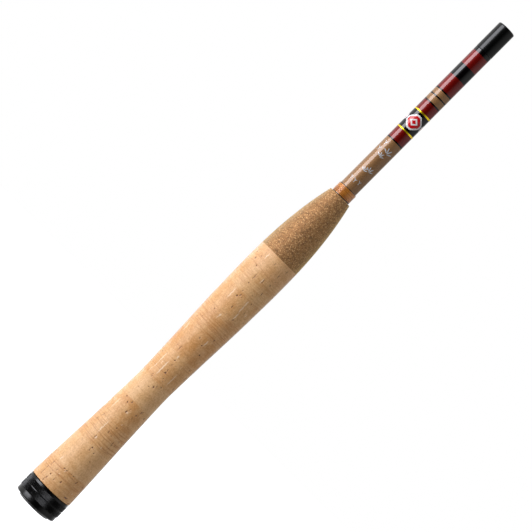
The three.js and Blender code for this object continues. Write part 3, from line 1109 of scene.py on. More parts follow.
@dataclass
class Ornaments:
    """Trim on the blank: foil rings, a row of lozenges and sprigs of bamboo leaves."""

    blank: Blank
    ring_heights: tuple[float, ...] = (316.75, 331.5)
    ring_width: float = 1.0
    ring_lift: float = 0.16
    ring_rows: int = 11
    lift: float = 0.03
    sink: float = 0.05
    lozenge_height: float = 324.1
    lozenge_scales: tuple[float, ...] = (1.0, 0.8, 0.52, 0.28)
    lozenge_cuts: tuple[float, ...] = (1.24, 1.24, 1.0, 1.0)
    lozenge_turns: tuple[float, ...] = (-92.0, 28.0, 148.0)
    lozenge_round: float = 11.8
    lozenge_long: float = 10.4
    layer_lift: float = 0.6
    leaf_lift: float = 0.6
    leaf_width: float = 0.19
    leaf_bend: float = 0.1
    leaf_power: float = 1.6
    back_shares: tuple[float, ...] = (0.0, 0.5, 1.0)
    face_shares: tuple[float, ...] = (1.0, 0.97, 0.85, 0.7, 0.55, 0.4, 0.25, 0.12, 0.0)
    sprigs: tuple[Sprig, ...] = (
        Sprig(Spray.FAN, -104.0, 283.0, 2.7),
        Sprig(Spray.FAN, -76.0, 284.4, 3.2),
        Sprig(Spray.FAN, -94.0, 295.6, 3.0),
        Sprig(Spray.FAN, -76.0, 299.6, 3.8),
        Sprig(Spray.TRIO, -130.0, 275.2, 1.9),
        Sprig(Spray.TRIO, -98.0, 274.8, 2.0),
        Sprig(Spray.TRIO, -68.0, 275.4, 2.0),
        Sprig(Spray.TRIO, -136.0, 299.2, 2.4),
        Sprig(Spray.TRIO, -128.0, 304.0, 2.4),
    )

    def foil_ring(self, height: float) -> Surface:
        """A low ridge about the axis: out by the lift times cos a, up by half a width times sin a.

        Args:
            height: Its middle's height.

        Returns:
            The ridge, sunk a little into the blank.
        """
        a = np.radians(np.linspace(-90.0, 90.0, self.ring_rows))
        radius = float(self.blank.radius_at(height)) - self.sink
        out = radius + (self.sink + self.ring_lift) * np.cos(a)
        ridge = np.stack([out, height + self.ring_width / 2.0 * np.sin(a)], axis=-1)
        return lathe(ridge, self.blank.columns, ring=True)

    def plaque(self, edge: np.ndarray, turn: float, height: float, lift: float) -> Surface:
        """A thin shape wrapped on the blank.

        Its edge shrinks towards its middle in steps; the point at share s is the edge's
        (round, along) times s, rolled on to the blank's radius. Its back is sunk into the
        blank, and its face is lifted, the edge half as far.

        Args:
            edge: The edge's points as (round, along), anticlockwise seen from outside.
            turn: The middle's turn in degrees.
            height: The middle's height.
            lift: How far the face stands out.

        Returns:
            The closed shape.
        """
        share = np.array(self.back_shares + self.face_shares)
        back = len(self.back_shares)
        lifts = np.full(len(share), lift)
        lifts[:back] = -self.sink
        lifts[back] = lift * 0.5
        flat = share[:, None, None] * edge[None]
        z = height + flat[..., 1]
        radius = self.blank.radius_at(z) + lifts[:, None]
        a = math.radians(turn) + flat[..., 0] / self.blank.radius_at(height)
        return Surface(np.stack([radius * np.cos(a), radius * np.sin(a), z], axis=-1))

    def lozenge_edge(self, scale: float, cut: float, columns: int = 64) -> np.ndarray:
        """A lozenge with its corners cut: |x| + |y| reaches the cut, and neither goes beyond 1.

        Args:
            scale: Its size as a share of the largest one.
            cut: Where the slanting sides stand; x and y are shares of the half sizes.
            columns: Points on its edge.

        Returns:
            The edge as (round, along).
        """
        a = turns_round(columns)
        x, y = np.abs(np.cos(a)), np.abs(np.sin(a))
        reach = scale / np.maximum((x + y) / cut, np.maximum(x, y))
        sides = (self.lozenge_round / 2.0, self.lozenge_long / 2.0)
        return np.stack([sides[0] * reach * np.cos(a), sides[1] * reach * np.sin(a)], axis=-1)

    def leaf_edge(self, length: float, width: float, lean: float, columns: int = 40) -> np.ndarray:
        """A pointed leaf: a power of |cos a| half widths out at sin a half lengths up, bent over.

        Args:
            length: From stalk to point.
            width: Across its widest part.
            lean: Degrees from straight up the rod.
            columns: Points on its edge.

        Returns:
            The edge as (round, along).
        """
        a = turns_round(columns)
        along = length * np.sin(a) / 2.0
        across = width / 2.0 * np.sign(np.cos(a)) * np.abs(np.cos(a)) ** self.leaf_power
        across = across + self.leaf_bend * (along / length) ** 2 * length
        c, s = math.cos(math.radians(lean)), math.sin(math.radians(lean))
        return np.stack([across * c + along * s, along * c - across * s], axis=-1)

    def leaves(self, sprig: Sprig) -> list[Surface]:
        """The leaves of one sprig, each as long as the sprig's size.

        Args:
            sprig: The sprig.

        Returns:
            The leaves on the blank.
        """
        size = sprig.size
        per_mm = math.degrees(1.0 / self.blank.mouth_radius)
        return [
            self.plaque(
                self.leaf_edge(size, size * self.leaf_width, lean),
                sprig.turn + x * size * per_mm,
                sprig.height + y * size,
                self.lift * self.leaf_lift,
            )
            for x, y, lean in sprig.spray.value
        ]

    def build(self) -> None:
        """Adds the rings, the lozenges in their white frames and the leaves."""
        rings = [self.foil_ring(height) for height in self.ring_heights]
        add_piece("yellow_trim_rings", rings, YELLOW_THREAD, Body.HANDLE)
        layers = []
        for step, (scale, cut) in enumerate(zip(self.lozenge_scales, self.lozenge_cuts)):
            edge = self.lozenge_edge(scale, cut)
            place = (self.lozenge_height, self.lift * (1.0 + self.layer_lift * step))
            layers.append([self.plaque(edge, turn, *place) for turn in self.lozenge_turns])
        add_piece("white_lozenges", layers[0] + layers[2], WHITE_ENAMEL, Body.HANDLE)
        add_piece("red_lozenges", layers[1] + layers[3], RED_ENAMEL, Body.HANDLE)
        leaves = [leaf for sprig in self.sprigs for leaf in self.leaves(sprig)]
        add_piece("silver_leaves", leaves, SILVER_PAINT, Body.HANDLE)


# Cork grip


class MarkKind(Enum):
    """What a mark in the cork is: its depth, its share of the strays and their sizes.

    A stray's length and width are each (least, range), in millimetres.
    """

    PIT = (0.34, 0.45, (0.6, 0.8), (0.5, 0.5))
    DASH = (0.16, 0.35, (1.2, 3.2), (0.4, 0.2))
    STREAK = (-0.03, 0.2, (1.5, 4.5), (0.45, 0.3))

    def __init__(
        self, depth: float, odds: float, length: tuple[float, float], width: tuple[float, float]
    ) -> None:
        """Names the parts of the value."""
        self.depth, self.odds, self.length, self.width = depth, odds, length, width


@dataclass(frozen=True)
class Mark:
    """A pit, dash or filled streak in the cork, with its size along and round the rod."""

    kind: MarkKind
    height: float
    turn: float
    length: float
    width: float


PIT, DASH, STREAK = MarkKind.PIT, MarkKind.DASH, MarkKind.STREAK


@dataclass(frozen=True)
class Ring:
    """One natural cork ring.

    Attributes:
        share: Its share of the natural rings' length, before they are scaled to fill it.
        tint: Colour that its cork leans to.
        grain: Strength of growth lines.
        flecks: Strength of flecks.
        swirl: Wander of growth lines.
        cloud: Strength of clouds.
        lines: Its chief growth lines as (height, strength).
        marks: Its own marks as (kind, height, turn, length, width).
        stray_lines: How many more lines it has at random.
        stray_marks: How many more marks it has at random.
    """

    share: float
    tint: Colour
    grain: float
    flecks: float
    swirl: float
    cloud: float
    lines: tuple[tuple[float, float], ...]
    marks: tuple[tuple[MarkKind, float, float, float, float], ...]
    stray_lines: int
    stray_marks: int


RINGS = (
    Ring(0.081, (0.98, 0.96, 0.92), 0.9, 0.7, 0.7, 0.35,
         ((18.6, 0.5), (20.1, 0.4), (24.9, 1.0), (26.0, 0.9), (27.5, 0.5), (29.1, 0.6), (30.6, 0.5)),
         ((DASH, 20.3, -136, 4.4, 0.55), (DASH, 28.1, -133, 5.1, 0.5), (PIT, 17.0, -118, 1.0, 0.8),
          (DASH, 19.5, -116, 3.1, 0.6), (PIT, 23.2, -83, 1.6, 0.9), (PIT, 31.0, -99, 0.7, 0.7),
          (PIT, 31.0, -71, 0.8, 0.9), (PIT, 28.6, -54, 0.8, 0.7), (PIT, 29.7, -53, 0.8, 0.8),
          (PIT, 18.2, -46, 1.0, 3.4), (PIT, 16.3, -23, 1.2, 1.6), (DASH, 28.1, -23, 4.8, 0.6),
          (DASH, 22.0, -24, 2.2, 0.6), (PIT, 30.4, -101, 0.6, 0.8), (PIT, 30.6, -92, 0.6, 1.0),
          (PIT, 31.2, -79, 0.7, 1.1), (PIT, 22.4, -115, 1.1, 0.7), (DASH, 24.3, -136, 2.0, 0.5)), 6, 26),
    Ring(0.105, (1.01, 1.02, 1.04), 0.12, 0.2, 0.9, 0.1,
         ((43.9, 0.3), (50.4, 0.25)),
         ((PIT, 51.0, -88, 1.2, 1.0), (DASH, 49.0, -89, 1.9, 0.5), (PIT, 49.2, -75, 1.0, 0.8),
          (PIT, 43.9, -67, 0.8, 0.7)), 1, 10),
    Ring(0.098, (1.02, 1.03, 1.03), 0.95, 0.8, 0.8, 0.3,
         ((53.8, 0.7), (55.3, 1.3), (57.2, 1.0), (60.3, 1.1), (61.4, 1.1), (64.9, 1.0), (65.9, 1.0),
          (67.9, 1.1), (69.6, 0.8)),
         ((DASH, 56.6, -103, 4.5, 0.5), (STREAK, 56.9, -100, 1.9, 1.1), (STREAK, 64.4, -107, 11.0, 0.5),
          (DASH, 65.3, -141, 2.5, 0.6), (DASH, 64.6, -86, 2.4, 0.6), (PIT, 69.4, -78, 0.9, 0.9),
          (DASH, 60.5, -55, 4.1, 0.5)), 6, 32),
    Ring(0.089, (1.01, 1.0, 0.98), 0.35, 0.35, 1.0, 0.75,
         ((71.8, 0.6), (73.6, 0.4)),
         ((PIT, 80.3, -91, 1.6, 1.0), (STREAK, 80.2, -87, 1.4, 0.9), (STREAK, 79.4, -134, 10.3, 0.6),
          (PIT, 87.2, -124, 0.9, 0.8), (PIT, 85.0, -108, 1.2, 0.8), (PIT, 87.0, -98, 0.8, 0.7),
          (PIT, 82.7, -61, 1.1, 0.9), (PIT, 86.0, -55, 1.6, 0.9), (PIT, 84.2, -30, 1.5, 1.0)), 3, 26),
    Ring(0.091, (1.02, 1.05, 1.09), 0.1, 0.15, 0.9, 0.1,
         ((97.0, 0.15), (102.6, 0.2)),
         ((PIT, 100.4, -96, 0.8, 0.9), (PIT, 102.2, -85, 1.5, 1.1), (PIT, 105.0, -67, 0.9, 0.8),
          (DASH, 103.6, -79, 2.0, 0.4)), 1, 9),
    Ring(0.109, (1.0, 0.97, 0.91), 0.85, 0.75, 0.7, 0.25,
         ((106.7, 0.4), (109.4, 0.4), (112.8, 0.9), (117.8, 0.8), (122.4, 0.5), (124.6, 0.5)),
         ((STREAK, 112.7, -130, 3.4, 0.6), (STREAK, 118.6, -130, 8.2, 0.7),
          (STREAK, 114.3, -107, 11.4, 0.8), (STREAK, 112.5, -61, 9.4, 0.55), (PIT, 113.2, -90, 1.5, 1.1),
          (DASH, 115.2, -91, 1.6, 0.5), (PIT, 119.3, -92, 0.8, 0.6), (PIT, 122.5, -95, 0.9, 0.8),
          (STREAK, 125.2, -96, 2.2, 1.0), (DASH, 109.4, -28, 2.6, 0.7), (PIT, 124.1, -38, 0.8, 0.9)),
         5, 26),
    Ring(0.095, (0.96, 0.90, 0.84), 0.5, 0.4, 1.1, 0.8,
         ((128.7, 0.4), (130.0, 0.4), (134.9, 0.5), (142.3, 0.3)),
         ((PIT, 140.0, -71, 1.0, 1.0), (STREAK, 142.6, -68, 4.6, 0.7), (PIT, 134.9, -55, 1.5, 0.7),
          (PIT, 142.4, -90, 1.1, 0.8), (DASH, 130.0, -111, 3.8, 0.5), (STREAK, 141.4, -146, 5.5, 0.7)),
         4, 12),
    Ring(0.089, (0.96, 0.93, 0.90), 1.0, 0.3, 0.5, 0.35,
         ((146.1, 0.4), (147.6, 0.7), (149.2, 0.6), (150.4, 0.7), (151.8, 1.0), (152.6, 0.9),
          (154.1, 0.7), (156.3, 0.6), (157.4, 0.6), (159.4, 0.6), (160.5, 0.6), (161.7, 0.6)),
         ((DASH, 147.2, -57, 1.5, 0.8), (STREAK, 160.8, -95, 1.9, 1.1), (PIT, 161.2, -118, 0.9, 0.7)), 4, 10),
    Ring(0.088, (0.98, 0.97, 0.94), 0.35, 0.5, 0.8, 0.5,
         ((172.1, 0.2), (178.8, 0.5)),
         ((PIT, 163.9, -62, 0.9, 0.9), (STREAK, 166.8, -64, 5.6, 0.8), (STREAK, 172.1, -67, 5.6, 0.8),
          (STREAK, 176.6, -68, 4.0, 0.7), (DASH, 169.2, -88, 2.5, 0.6), (STREAK, 174.8, -114, 8.0, 0.6),
          (PIT, 176.1, -99, 1.5, 0.9), (PIT, 177.7, -94, 1.8, 0.7), (PIT, 178.3, -57, 1.1, 0.8),
          (PIT, 178.2, -34, 0.9, 0.8)), 3, 24),
    Ring(0.084, (0.97, 1.0, 1.0), 0.8, 0.55, 0.5, 0.2,
         ((181.1, 0.5), (182.7, 0.4), (184.5, 0.4), (185.8, 0.4), (186.9, 0.4), (188.1, 0.4), (189.5, 0.4),
          (190.6, 0.5), (191.9, 0.4), (193.2, 0.5), (194.6, 0.4)),
         ((DASH, 186.8, -57, 2.8, 0.7), (PIT, 186.4, -101, 0.8, 0.9), (DASH, 191.5, -101, 4.1, 0.6),
          (STREAK, 192.6, -81, 3.8, 0.7), (DASH, 192.8, -78, 3.2, 0.5), (PIT, 194.0, -57, 0.9, 0.8)), 3, 12),
    Ring(0.071, (1.0, 1.0, 1.05), 0.45, 0.3, 2.4, 0.3,
         ((196.8, 0.6), (201.2, 0.5), (205.6, 0.3)),
         ((STREAK, 205.4, -115, 4.4, 0.6), (PIT, 199.8, -137, 1.8, 0.9), (PIT, 196.9, -118, 1.1, 0.8),
          (DASH, 201.3, -58, 2.5, 0.4), (DASH, 206.5, -49, 3.4, 0.4)), 3, 8),
)


@dataclass
class Grip:
    """The cork grip: eleven natural rings and a front of pressed granules."""

    blank: Blank
    bottom: float = 15.45
    top: float = 261.45
    composite_bottom: float = 209.75
    butt_radius: float = 15.1
    waist_rise: float = 86.0
    waist_radius: float = 11.6
    swell_rise: float = 178.5
    swell_radius: float = 14.35
    nose_radius: float = 7.81
    nose_fillet: float = 0.5
    nose_start: float = 15.0
    nose_power: float = 2.45
    to_waist: tuple[tuple[float, float], ...] = ((0.18, 0.17), (0.39, 0.41), (0.56, 0.61), (0.73, 0.785))
    to_swell: tuple[tuple[float, float], ...] = ((0.14, 0.1), (0.34, 0.33), (0.6, 0.7), (0.8, 0.885))
    sleeve_bore: float = 9.5
    bore_room: float = 0.05
    seam_depth: float = 0.035
    seam_width: float = 0.1
    columns: int = 360
    row_step: float = 0.3
    least_rows: int = 8
    seed: int = 700
    front_seed: int = 77
    grit: float = 0.022
    end_room: float = 0.8
    shown_turns: tuple[float, float] = (-150.0, -30.0)
    shown_size: float = 0.6
    stray_width: float = 0.15
    mark_reach: tuple[float, float] = (0.55, 1.3)
    mark_wave: float = 0.12
    dash_cover: float = 0.85
    stray_strength: tuple[float, float] = (0.1, 0.35)
    last_phase: float = 6.0
    line_width: float = 0.3
    line_depth: float = 0.012
    shared_waves: float = 0.28
    own_waves: tuple[Triple, ...] = ((0.2, 2.0, 1.7), (0.14, 5.0, 2.9), (0.08, 11.0, 4.1))
    fade_waves: tuple[Triple, ...] = ((0.3, 2.0, 3.0), (0.25, 7.0, 5.3), (0.15, 17.0, 2.3))
    fade_mean: float = 0.75
    fade_top: float = 1.4

    def stations(self) -> np.ndarray:
        """What the outline passes through, from butt to swell.

        Returns:
            Heights and radii.
        """
        thinning = self.butt_radius - self.waist_radius
        swelling = self.swell_radius - self.waist_radius
        waist, rise = self.bottom + self.waist_rise, self.swell_rise - self.waist_rise
        down = [
            (self.bottom + a * self.waist_rise, self.butt_radius - b * thinning)
            for a, b in ((0.0, 0.0), *self.to_waist, (1.0, 1.0))
        ]
        up = [(waist + a * rise, self.waist_radius + b * swelling) for a, b in (*self.to_swell, (1.0, 1.0))]
        return np.array(down + up)

    def radius_at(self, height: np.ndarray) -> np.ndarray:
        """The grip's outline.

        Up to the swell it is a cubic through the stations, whose slope at each is that of the
        line across its neighbours, and level at the swell. Beyond, the radius falls from the
        swell's to the nose's with a power of the share of the way.

        Args:
            height: Heights in millimetres.

        Returns:
            Radii.
        """
        at = self.stations()
        z, r = at[:, 0], at[:, 1]
        place = np.arange(len(z))
        before, after = np.maximum(place - 1, 0), np.minimum(place + 1, len(z) - 1)
        slope = (r[after] - r[before]) / (z[after] - z[before])
        slope[-1] = 0.0
        k = np.clip(np.searchsorted(z, height, side="right"), 1, len(z) - 1)
        run = z[k] - z[k - 1]
        t = (height - z[k - 1]) / run
        cubic = (
            r[k - 1]
            + t * t * (3.0 - 2.0 * t) * (r[k] - r[k - 1])
            + t * (1.0 - t) ** 2 * run * slope[k - 1]
            + t * t * (t - 1.0) * run * slope[k]
        )
        share = np.clip((height - z[-1]) / (self.top - z[-1]), 0.0, 1.0)
        nose = self.swell_radius - share**self.nose_power * (self.swell_radius - self.nose_radius)
        return np.where(height >= z[-1], nose, cubic)

    def seams(self) -> np.ndarray:
        """Heights of the ends of the natural rings."""
        shares = np.cumsum([0.0, *(ring.share for ring in RINGS)])
        return self.bottom + shares / shares[-1] * (self.composite_bottom - self.bottom)

    def marks_of(self, ring: Ring, low: float, high: float, draw: np.random.Generator) -> list[Mark]:
        """The ring's own marks, and stray ones spread over its whole turn.

        The strays are smaller on the side that faces the camera, where the ring has its own.

        Args:
            ring: The ring.
            low: Its bottom.
            high: Its top.
            draw: The ring's random draws.

        Returns:
            All its marks.
        """
        options = list(MarkKind)
        kinds = draw.choice(len(options), ring.stray_marks, p=[kind.odds for kind in options])
        heights = draw.uniform(low + self.end_room, high - self.end_room, ring.stray_marks)
        turns = draw.uniform(0.0, 360.0, ring.stray_marks)
        sizes = draw.uniform(0.0, 1.0, (ring.stray_marks, 2))
        marks = [Mark(*mark) for mark in ring.marks]
        for choice, z, turn, (long, wide) in zip(kinds, heights, turns, sizes):
            kind = options[choice]
            shown = self.shown_turns[0] < (turn + 180.0) % 360.0 - 180.0 < self.shown_turns[1]
            size = self.shown_size if shown else 1.0
            length = (kind.length[0] + kind.length[1] * long) * size
            width = (kind.width[0] + kind.width[1] * wide) * (size + self.stray_width)
            marks.append(Mark(kind, z, turn, length, width))
        return marks

    def mark_field(
        self, marks: Sequence[Mark], z: np.ndarray, a: np.ndarray, r: np.ndarray
    ) -> dict[MarkKind, np.ndarray]:
        """How much of each kind of mark covers every point.

        A mark is a soft ellipse on the unrolled cork: its cover falls from 1 to 0 as the
        distance from its middle, in half sizes, goes through the reach, with a wavy edge.

        Args:
            marks: The marks.
            z: Heights, rows by columns.
            a: Turns in radians, rows by columns.
            r: Radii, rows by columns.

        Returns:
            Cover by kind, from 0 to 1.
        """
        cover = {}
        for kind in MarkKind:
            chosen = [mark for mark in marks if mark.kind is kind]
            if not chosen:
                cover[kind] = np.zeros_like(r)
                continue
            rows = [(m.height, math.radians(m.turn), m.length / 2.0, m.width / 2.0) for m in chosen]
            height, turn, long, wide = np.array(rows).T[:, :, None, None]
            off = (a - turn + math.pi) % (2.0 * math.pi) - math.pi
            along = (z - height) / long
            across = (off * r + self.mark_wave * np.sin(2.3 * z + 40.0 * turn)) / wide
            distance = np.hypot(along, across) + self.mark_wave * np.sin(9.0 * z + 7.0 * off * r)
            cover[kind] = (1.0 - smooth_step(*self.mark_reach, distance)).max(axis=0)
        return cover

    def line_field(
        self, lines: np.ndarray, z: np.ndarray, a: np.ndarray, swirl: float, phase: float
    ) -> np.ndarray:
        """Growth lines: at each line's height, moved by slow waves round the ring, a narrow bell.

        The ring's waves are shared, and each line adds smaller ones of its own and breaks up.

        Args:
            lines: Heights and strengths.
            z: Heights, rows by columns.
            a: Turns in radians, rows by columns.
            swirl: How far the shared waves go.
            phase: Where they begin.

        Returns:
            Cover by the lines, from 0 to 1.
        """
        shared = np.sin(a + phase) + 0.5 * np.sin(3.0 * a + 2.0 * phase) + 0.3 * np.sin(7.0 * a)
        shared = self.shared_waves * swirl * shared
        height, strength = lines[:, 0, None, None], lines[:, 1, None, None]
        own = wave_sum(self.own_waves, a, height)
        fade = np.clip(wave_sum(self.fade_waves, a, height, self.fade_mean), 0.0, self.fade_top)
        off = (z - shared - own - height) / self.line_width
        return np.clip((strength * fade * np.exp(-off * off)).sum(axis=0), 0.0, 1.0)

    def natural_ring(self, number: int, ring: Ring, low: float, high: float) -> Surface:
        """One ring: the outline, less a shallow groove at its seams and what its marks dig out.

        Args:
            number: Its number from the butt, from 1.
            ring: The ring.
            low: Its bottom.
            high: Its top.

        Returns:
            The ring with its bore, and traces of its pits, filler and grain.
        """
        draw = np.random.default_rng(self.seed + number)
        rows = max(int((high - low) / self.row_step), self.least_rows)
        inner = np.linspace(low + self.seam_width, high - self.seam_width, rows)
        z = np.concatenate([[low], inner, [high]])
        r = self.radius_at(z)
        r[[0, -1]] -= self.seam_depth
        a = turns_round(self.columns)
        zz, aa = np.broadcast_arrays(z[:, None], a[None, :])
        rr = np.repeat(r[:, None], self.columns, axis=1)
        cover = self.mark_field(self.marks_of(ring, low, high, draw), zz, aa, rr)
        limits = ((low, high), self.stray_strength)
        stray = np.stack([draw.uniform(*pair, ring.stray_lines) for pair in limits], axis=-1)
        lines = np.concatenate([np.array(ring.lines), stray])
        grain = self.line_field(lines, zz, aa, ring.swirl, draw.uniform(0.0, self.last_phase))
        dug = sum(cover[kind] * kind.depth for kind in MarkKind) + self.line_depth * grain
        pits = np.clip(cover[PIT] + self.dash_cover * cover[DASH], 0.0, 1.0)
        bore = self.sleeve_bore if number == 1 else float(self.blank.radius_at(low)) + self.bore_room
        traces = {
            name: np.pad(value, ((1, 1), (0, 0)))
            for name, value in {"pits": pits, "filler": cover[STREAK], "grain": grain}.items()
        }
        stretches = [path((bore, low)), (rr - dug, z), path((bore, high))]
        return lathe_stretches(stretches, self.columns, ring=True, traces=traces)

    def composite(self) -> Surface:
        """The front: its outline with a rounded nose, roughened by the relief of the granules.

        Returns:
            The front with its bore.
        """
        low, high = self.composite_bottom, self.top
        rows = int((high - low) / self.row_step)
        z = np.linspace(low + self.seam_width, high - self.nose_fillet, rows)
        edge = float(self.radius_at(np.array([high - self.nose_fillet]))[0])
        centre = (edge - self.nose_fillet, high - self.nose_fillet)
        fillet = arc(centre, self.nose_fillet, self.nose_start, 90.0, 5)
        grit = np.random.default_rng(self.front_seed).normal(0.0, self.grit, (rows, self.columns))
        near = [np.roll(grit, step, axis=(0, 1)) for step in ((0, 0), (0, 1), (1, 0), (1, 1))]
        outside = self.radius_at(z)[:, None] - np.abs(sum(near) / 2.0)
        seam = float(self.radius_at(np.array([low]))[0]) - self.seam_depth
        bore = float(self.blank.radius_at(low)) + self.bore_room
        stretches = [path((bore, low), (seam, low)), (outside, z), fillet, path((bore, high))]
        return lathe_stretches(stretches, self.columns, ring=True)

    def build(self) -> None:
        """Adds the rings, each in its own cork, and the front."""
        seams = self.seams()
        for number, (ring, low, high) in enumerate(zip(RINGS, seams[:-1], seams[1:]), start=1):
            cork = NaturalCork(f"cork {number}", ring.tint, ring.grain, ring.flecks, ring.swirl, ring.cloud)
            surface = self.natural_ring(number, ring, float(low), float(high))
            node = f"cork_ring_{number}"
            add_piece(f"cork_{number}", [surface], cork, Body.HANDLE, [node], Crease.CORK)
        front, node = self.composite(), "composite_cork_front"
        add_piece("pressed_front", [front], PRESSED_CORK, Body.HANDLE, [node], Crease.ROUND)


# Winding


@dataclass
class Winding:
    """Thread wound in front of the grip, between two dark trim threads."""

    blank: Blank
    bottom: float = 261.8
    length: float = 6.3
    turns: int = 15
    steps_a_turn: int = 64
    under_wall: float = 0.15
    room: float = 0.05
    outer_radius: float = 6.66
    trim_radius: float = 0.16
    flatness: float = 0.5
    fullness: float = 1.02
    columns: int = 96
    strand_columns: int = 12

    def build(self) -> None:
        """Adds the underwrap, the helix of thread and the two trims.

        The helix goes up by one pitch each turn; its strand is a little wider than the pitch.
        """
        inner = float(self.blank.radius_at(self.bottom)) + self.room
        outer, top = inner + self.under_wall, self.bottom + self.length
        outline = path((inner, self.bottom), (outer, self.bottom), (outer, top), (inner, top))
        under = lathe(outline, self.columns, ring=True)
        add_piece("underwrap", [under], DARK_THREAD, Body.HANDLE, ["thread_underwrap"])
        pitch = self.length / self.turns
        strand = pitch / 2.0 * self.fullness
        rise = strand * self.flatness
        centre = self.outer_radius - rise
        t = np.linspace(0.0, 1.0, self.turns * self.steps_a_turn + 1)
        a = 2.0 * math.pi * self.turns * t
        height = self.bottom + strand + t * (self.length - 2.0 * strand)
        helix = np.stack([centre * np.cos(a), centre * np.sin(a), height], axis=-1)
        thread, node = swept_strand(helix, strand, rise, self.strand_columns), "thread_overwrap"
        add_piece("wound_thread", [thread], ORANGE_THREAD, Body.HANDLE, [node], Crease.ROUND)
        trims = [
            torus((inner + self.trim_radius, height), self.trim_radius, self.columns)
            for height in (self.bottom - self.trim_radius, top + self.trim_radius)
        ]
        add_piece("dark_trim_threads", trims, DARK_THREAD, Body.HANDLE, crease=Crease.ROUND)


# Butt end


@dataclass
class ButtEnd:
    """Screw cap with foot, pad and rubber ring, and the sleeve that it screws into."""

    stand_out: float = 1.3
    seat_top: float = 2.5
    foot_radius: float = 11.55
    foot_edge: float = 0.8
    foot_gap: float = 0.15
    dish_depth: float = 0.12
    dish_radius: float = 8.8
    dish_slope: float = 0.2
    flange_radius: float = 14.75
    flange_fillet: float = 0.9
    flange_top: float = 5.05
    seat_chamfer: float = 0.15
    edge_chamfer: float = 0.1
    knurl_radius: float = 15.1
    knurl_depth: float = 0.3
    knurl_length: float = 3.95
    knurl_teeth: int = 120
    knurl_tiers: int = 5
    knurl_rest: float = 0.06
    knurl_cross: float = 1.7
    knurl_flat: float = 0.95
    knurl_rows: int = 8
    groove_width: float = 0.38
    groove_depth: float = 0.5
    groove_slant: float = 0.02
    cap_top: float = 13.2
    cup_floor: float = 8.2
    cup_radius: float = 6.12
    ring_groove_radius: float = 7.07
    ring_room: float = 1.8
    thread_radius: float = 7.62
    thread_depth: float = 0.5
    thread_pitch: float = 1.5
    thread_start: float = 0.4
    thread_end: float = 0.6
    thread_rows: int = 61
    spigot_top: float = 22.2
    spigot_lead: float = 0.5
    bore_gap: float = 0.1
    ring_radius: float = 7.97
    ring_height: float = 14.1
    ring_section: float = 0.8
    pad_height: float = 7.0
    pad_gap: float = 0.2
    pad_fillet: float = 0.6
    collar_radius: float = 14.95
    collar_edge: float = 0.12
    collar_top: float = 15.45
    collar_chamfer: float = 0.7
    sleeve_radius: float = 9.42
    sleeve_top: float = 31.19
    lip_bottom: float = 23.2
    lip_top: float = 24.0
    lip_radius: float = 5.63
    socket_radius: float = 6.25
    columns: int = 960
    plain_columns: int = 160
    pad_columns: int = 96

    def knurl(self, bottom: float) -> list[Stretch]:
        """A band of small pyramids in rows.

        V grooves run along the rod, and steeper ones round it; a point stands as high above
        them as the nearer groove allows, and the tips are cut off flat. A short stretch at both
        ends stays at the bottom of the grooves.

        Args:
            bottom: The band's lowest height.

        Returns:
            The band's stretches, from bottom to top.
        """
        clear = self.knurl_length - 2.0 * self.knurl_rest
        rows = self.knurl_tiers * self.knurl_rows + 1
        height = np.linspace(self.knurl_rest, self.knurl_length - self.knurl_rest, rows)
        share = (height[:, None] - self.knurl_rest) / clear
        round_share = turns_round(self.columns)[None, :] / (2.0 * math.pi)
        along = saw_depth(round_share * self.knurl_teeth)
        across = self.knurl_cross * saw_depth(share * self.knurl_tiers)
        stand = np.clip(np.minimum(along, across) / self.knurl_flat, 0.0, 1.0)
        radius = self.knurl_radius - self.knurl_depth * (1.0 - stand)
        valley = self.knurl_radius - self.knurl_depth
        ends = [path((valley, edge)) for edge in (bottom, bottom + self.knurl_length)]
        return [ends[0], (radius, bottom + height), ends[1]]

    def cap_shell(self) -> Surface:
        """Foot seat, flange, two knurled bands with a groove between, and the cup's lower part.

        Returns:
            The shell.
        """
        seat = self.foot_radius + self.foot_gap
        valley = self.knurl_radius - self.knurl_depth
        groove_low = self.flange_top + self.knurl_length
        groove_high = groove_low + self.groove_width
        fillet = (self.flange_radius - self.flange_fillet, self.stand_out + self.flange_fillet)
        below = path(
            (0.0, self.seat_top),
            (seat, self.seat_top),
            (seat, self.stand_out + self.seat_chamfer),
            (seat + self.seat_chamfer, self.stand_out),
            arc(fillet, self.flange_fillet, -90.0, 0.0),
            (self.flange_radius, self.flange_top - self.edge_chamfer),
            (self.flange_radius - self.edge_chamfer, self.flange_top),
        )
        groove = path(
            (valley - self.groove_depth, groove_low + self.groove_slant),
            (valley - self.groove_depth, groove_high - self.groove_slant),
        )
        above = path(
            (valley, self.cap_top),
            (self.ring_groove_radius, self.cap_top),
            (self.cup_radius, self.cap_top),
            (self.cup_radius, self.cup_floor),
            (0.0, self.cup_floor),
        )
        bands = self.knurl(self.flange_top), self.knurl(groove_high)
        return lathe_stretches([below, *bands[0], groove, *bands[1], above], self.columns)

    def thread(self, root: float, crest: float, bottom: float, top: float) -> Stretch:
        """A threaded stretch between two heights, as radii and heights."""
        z = np.linspace(bottom, top, self.thread_rows)
        return screw_thread(root, crest, z, self.thread_pitch, self.plain_columns), z

    def spigot(self) -> Surface:
        """The threaded tube over the shell, from the rubber ring's groove to its chamfered end.

        Returns:
            The tube.
        """
        root, shoulder = self.thread_radius - self.thread_depth, self.cap_top + self.ring_room
        bottom, top = shoulder + self.thread_start, self.spigot_top - self.spigot_lead
        low = path(
            (self.cup_radius, self.cap_top),
            (self.ring_groove_radius, self.cap_top),
            (self.ring_groove_radius, shoulder),
        )
        high = path(
            (root - self.edge_chamfer, self.spigot_top),
            (self.cup_radius + self.edge_chamfer, self.spigot_top),
            (self.cup_radius, self.spigot_top - self.edge_chamfer),
        )
        stretches = [low, self.thread(root, self.thread_radius, bottom, top), high]
        return lathe_stretches(stretches, self.plain_columns, ring=True)

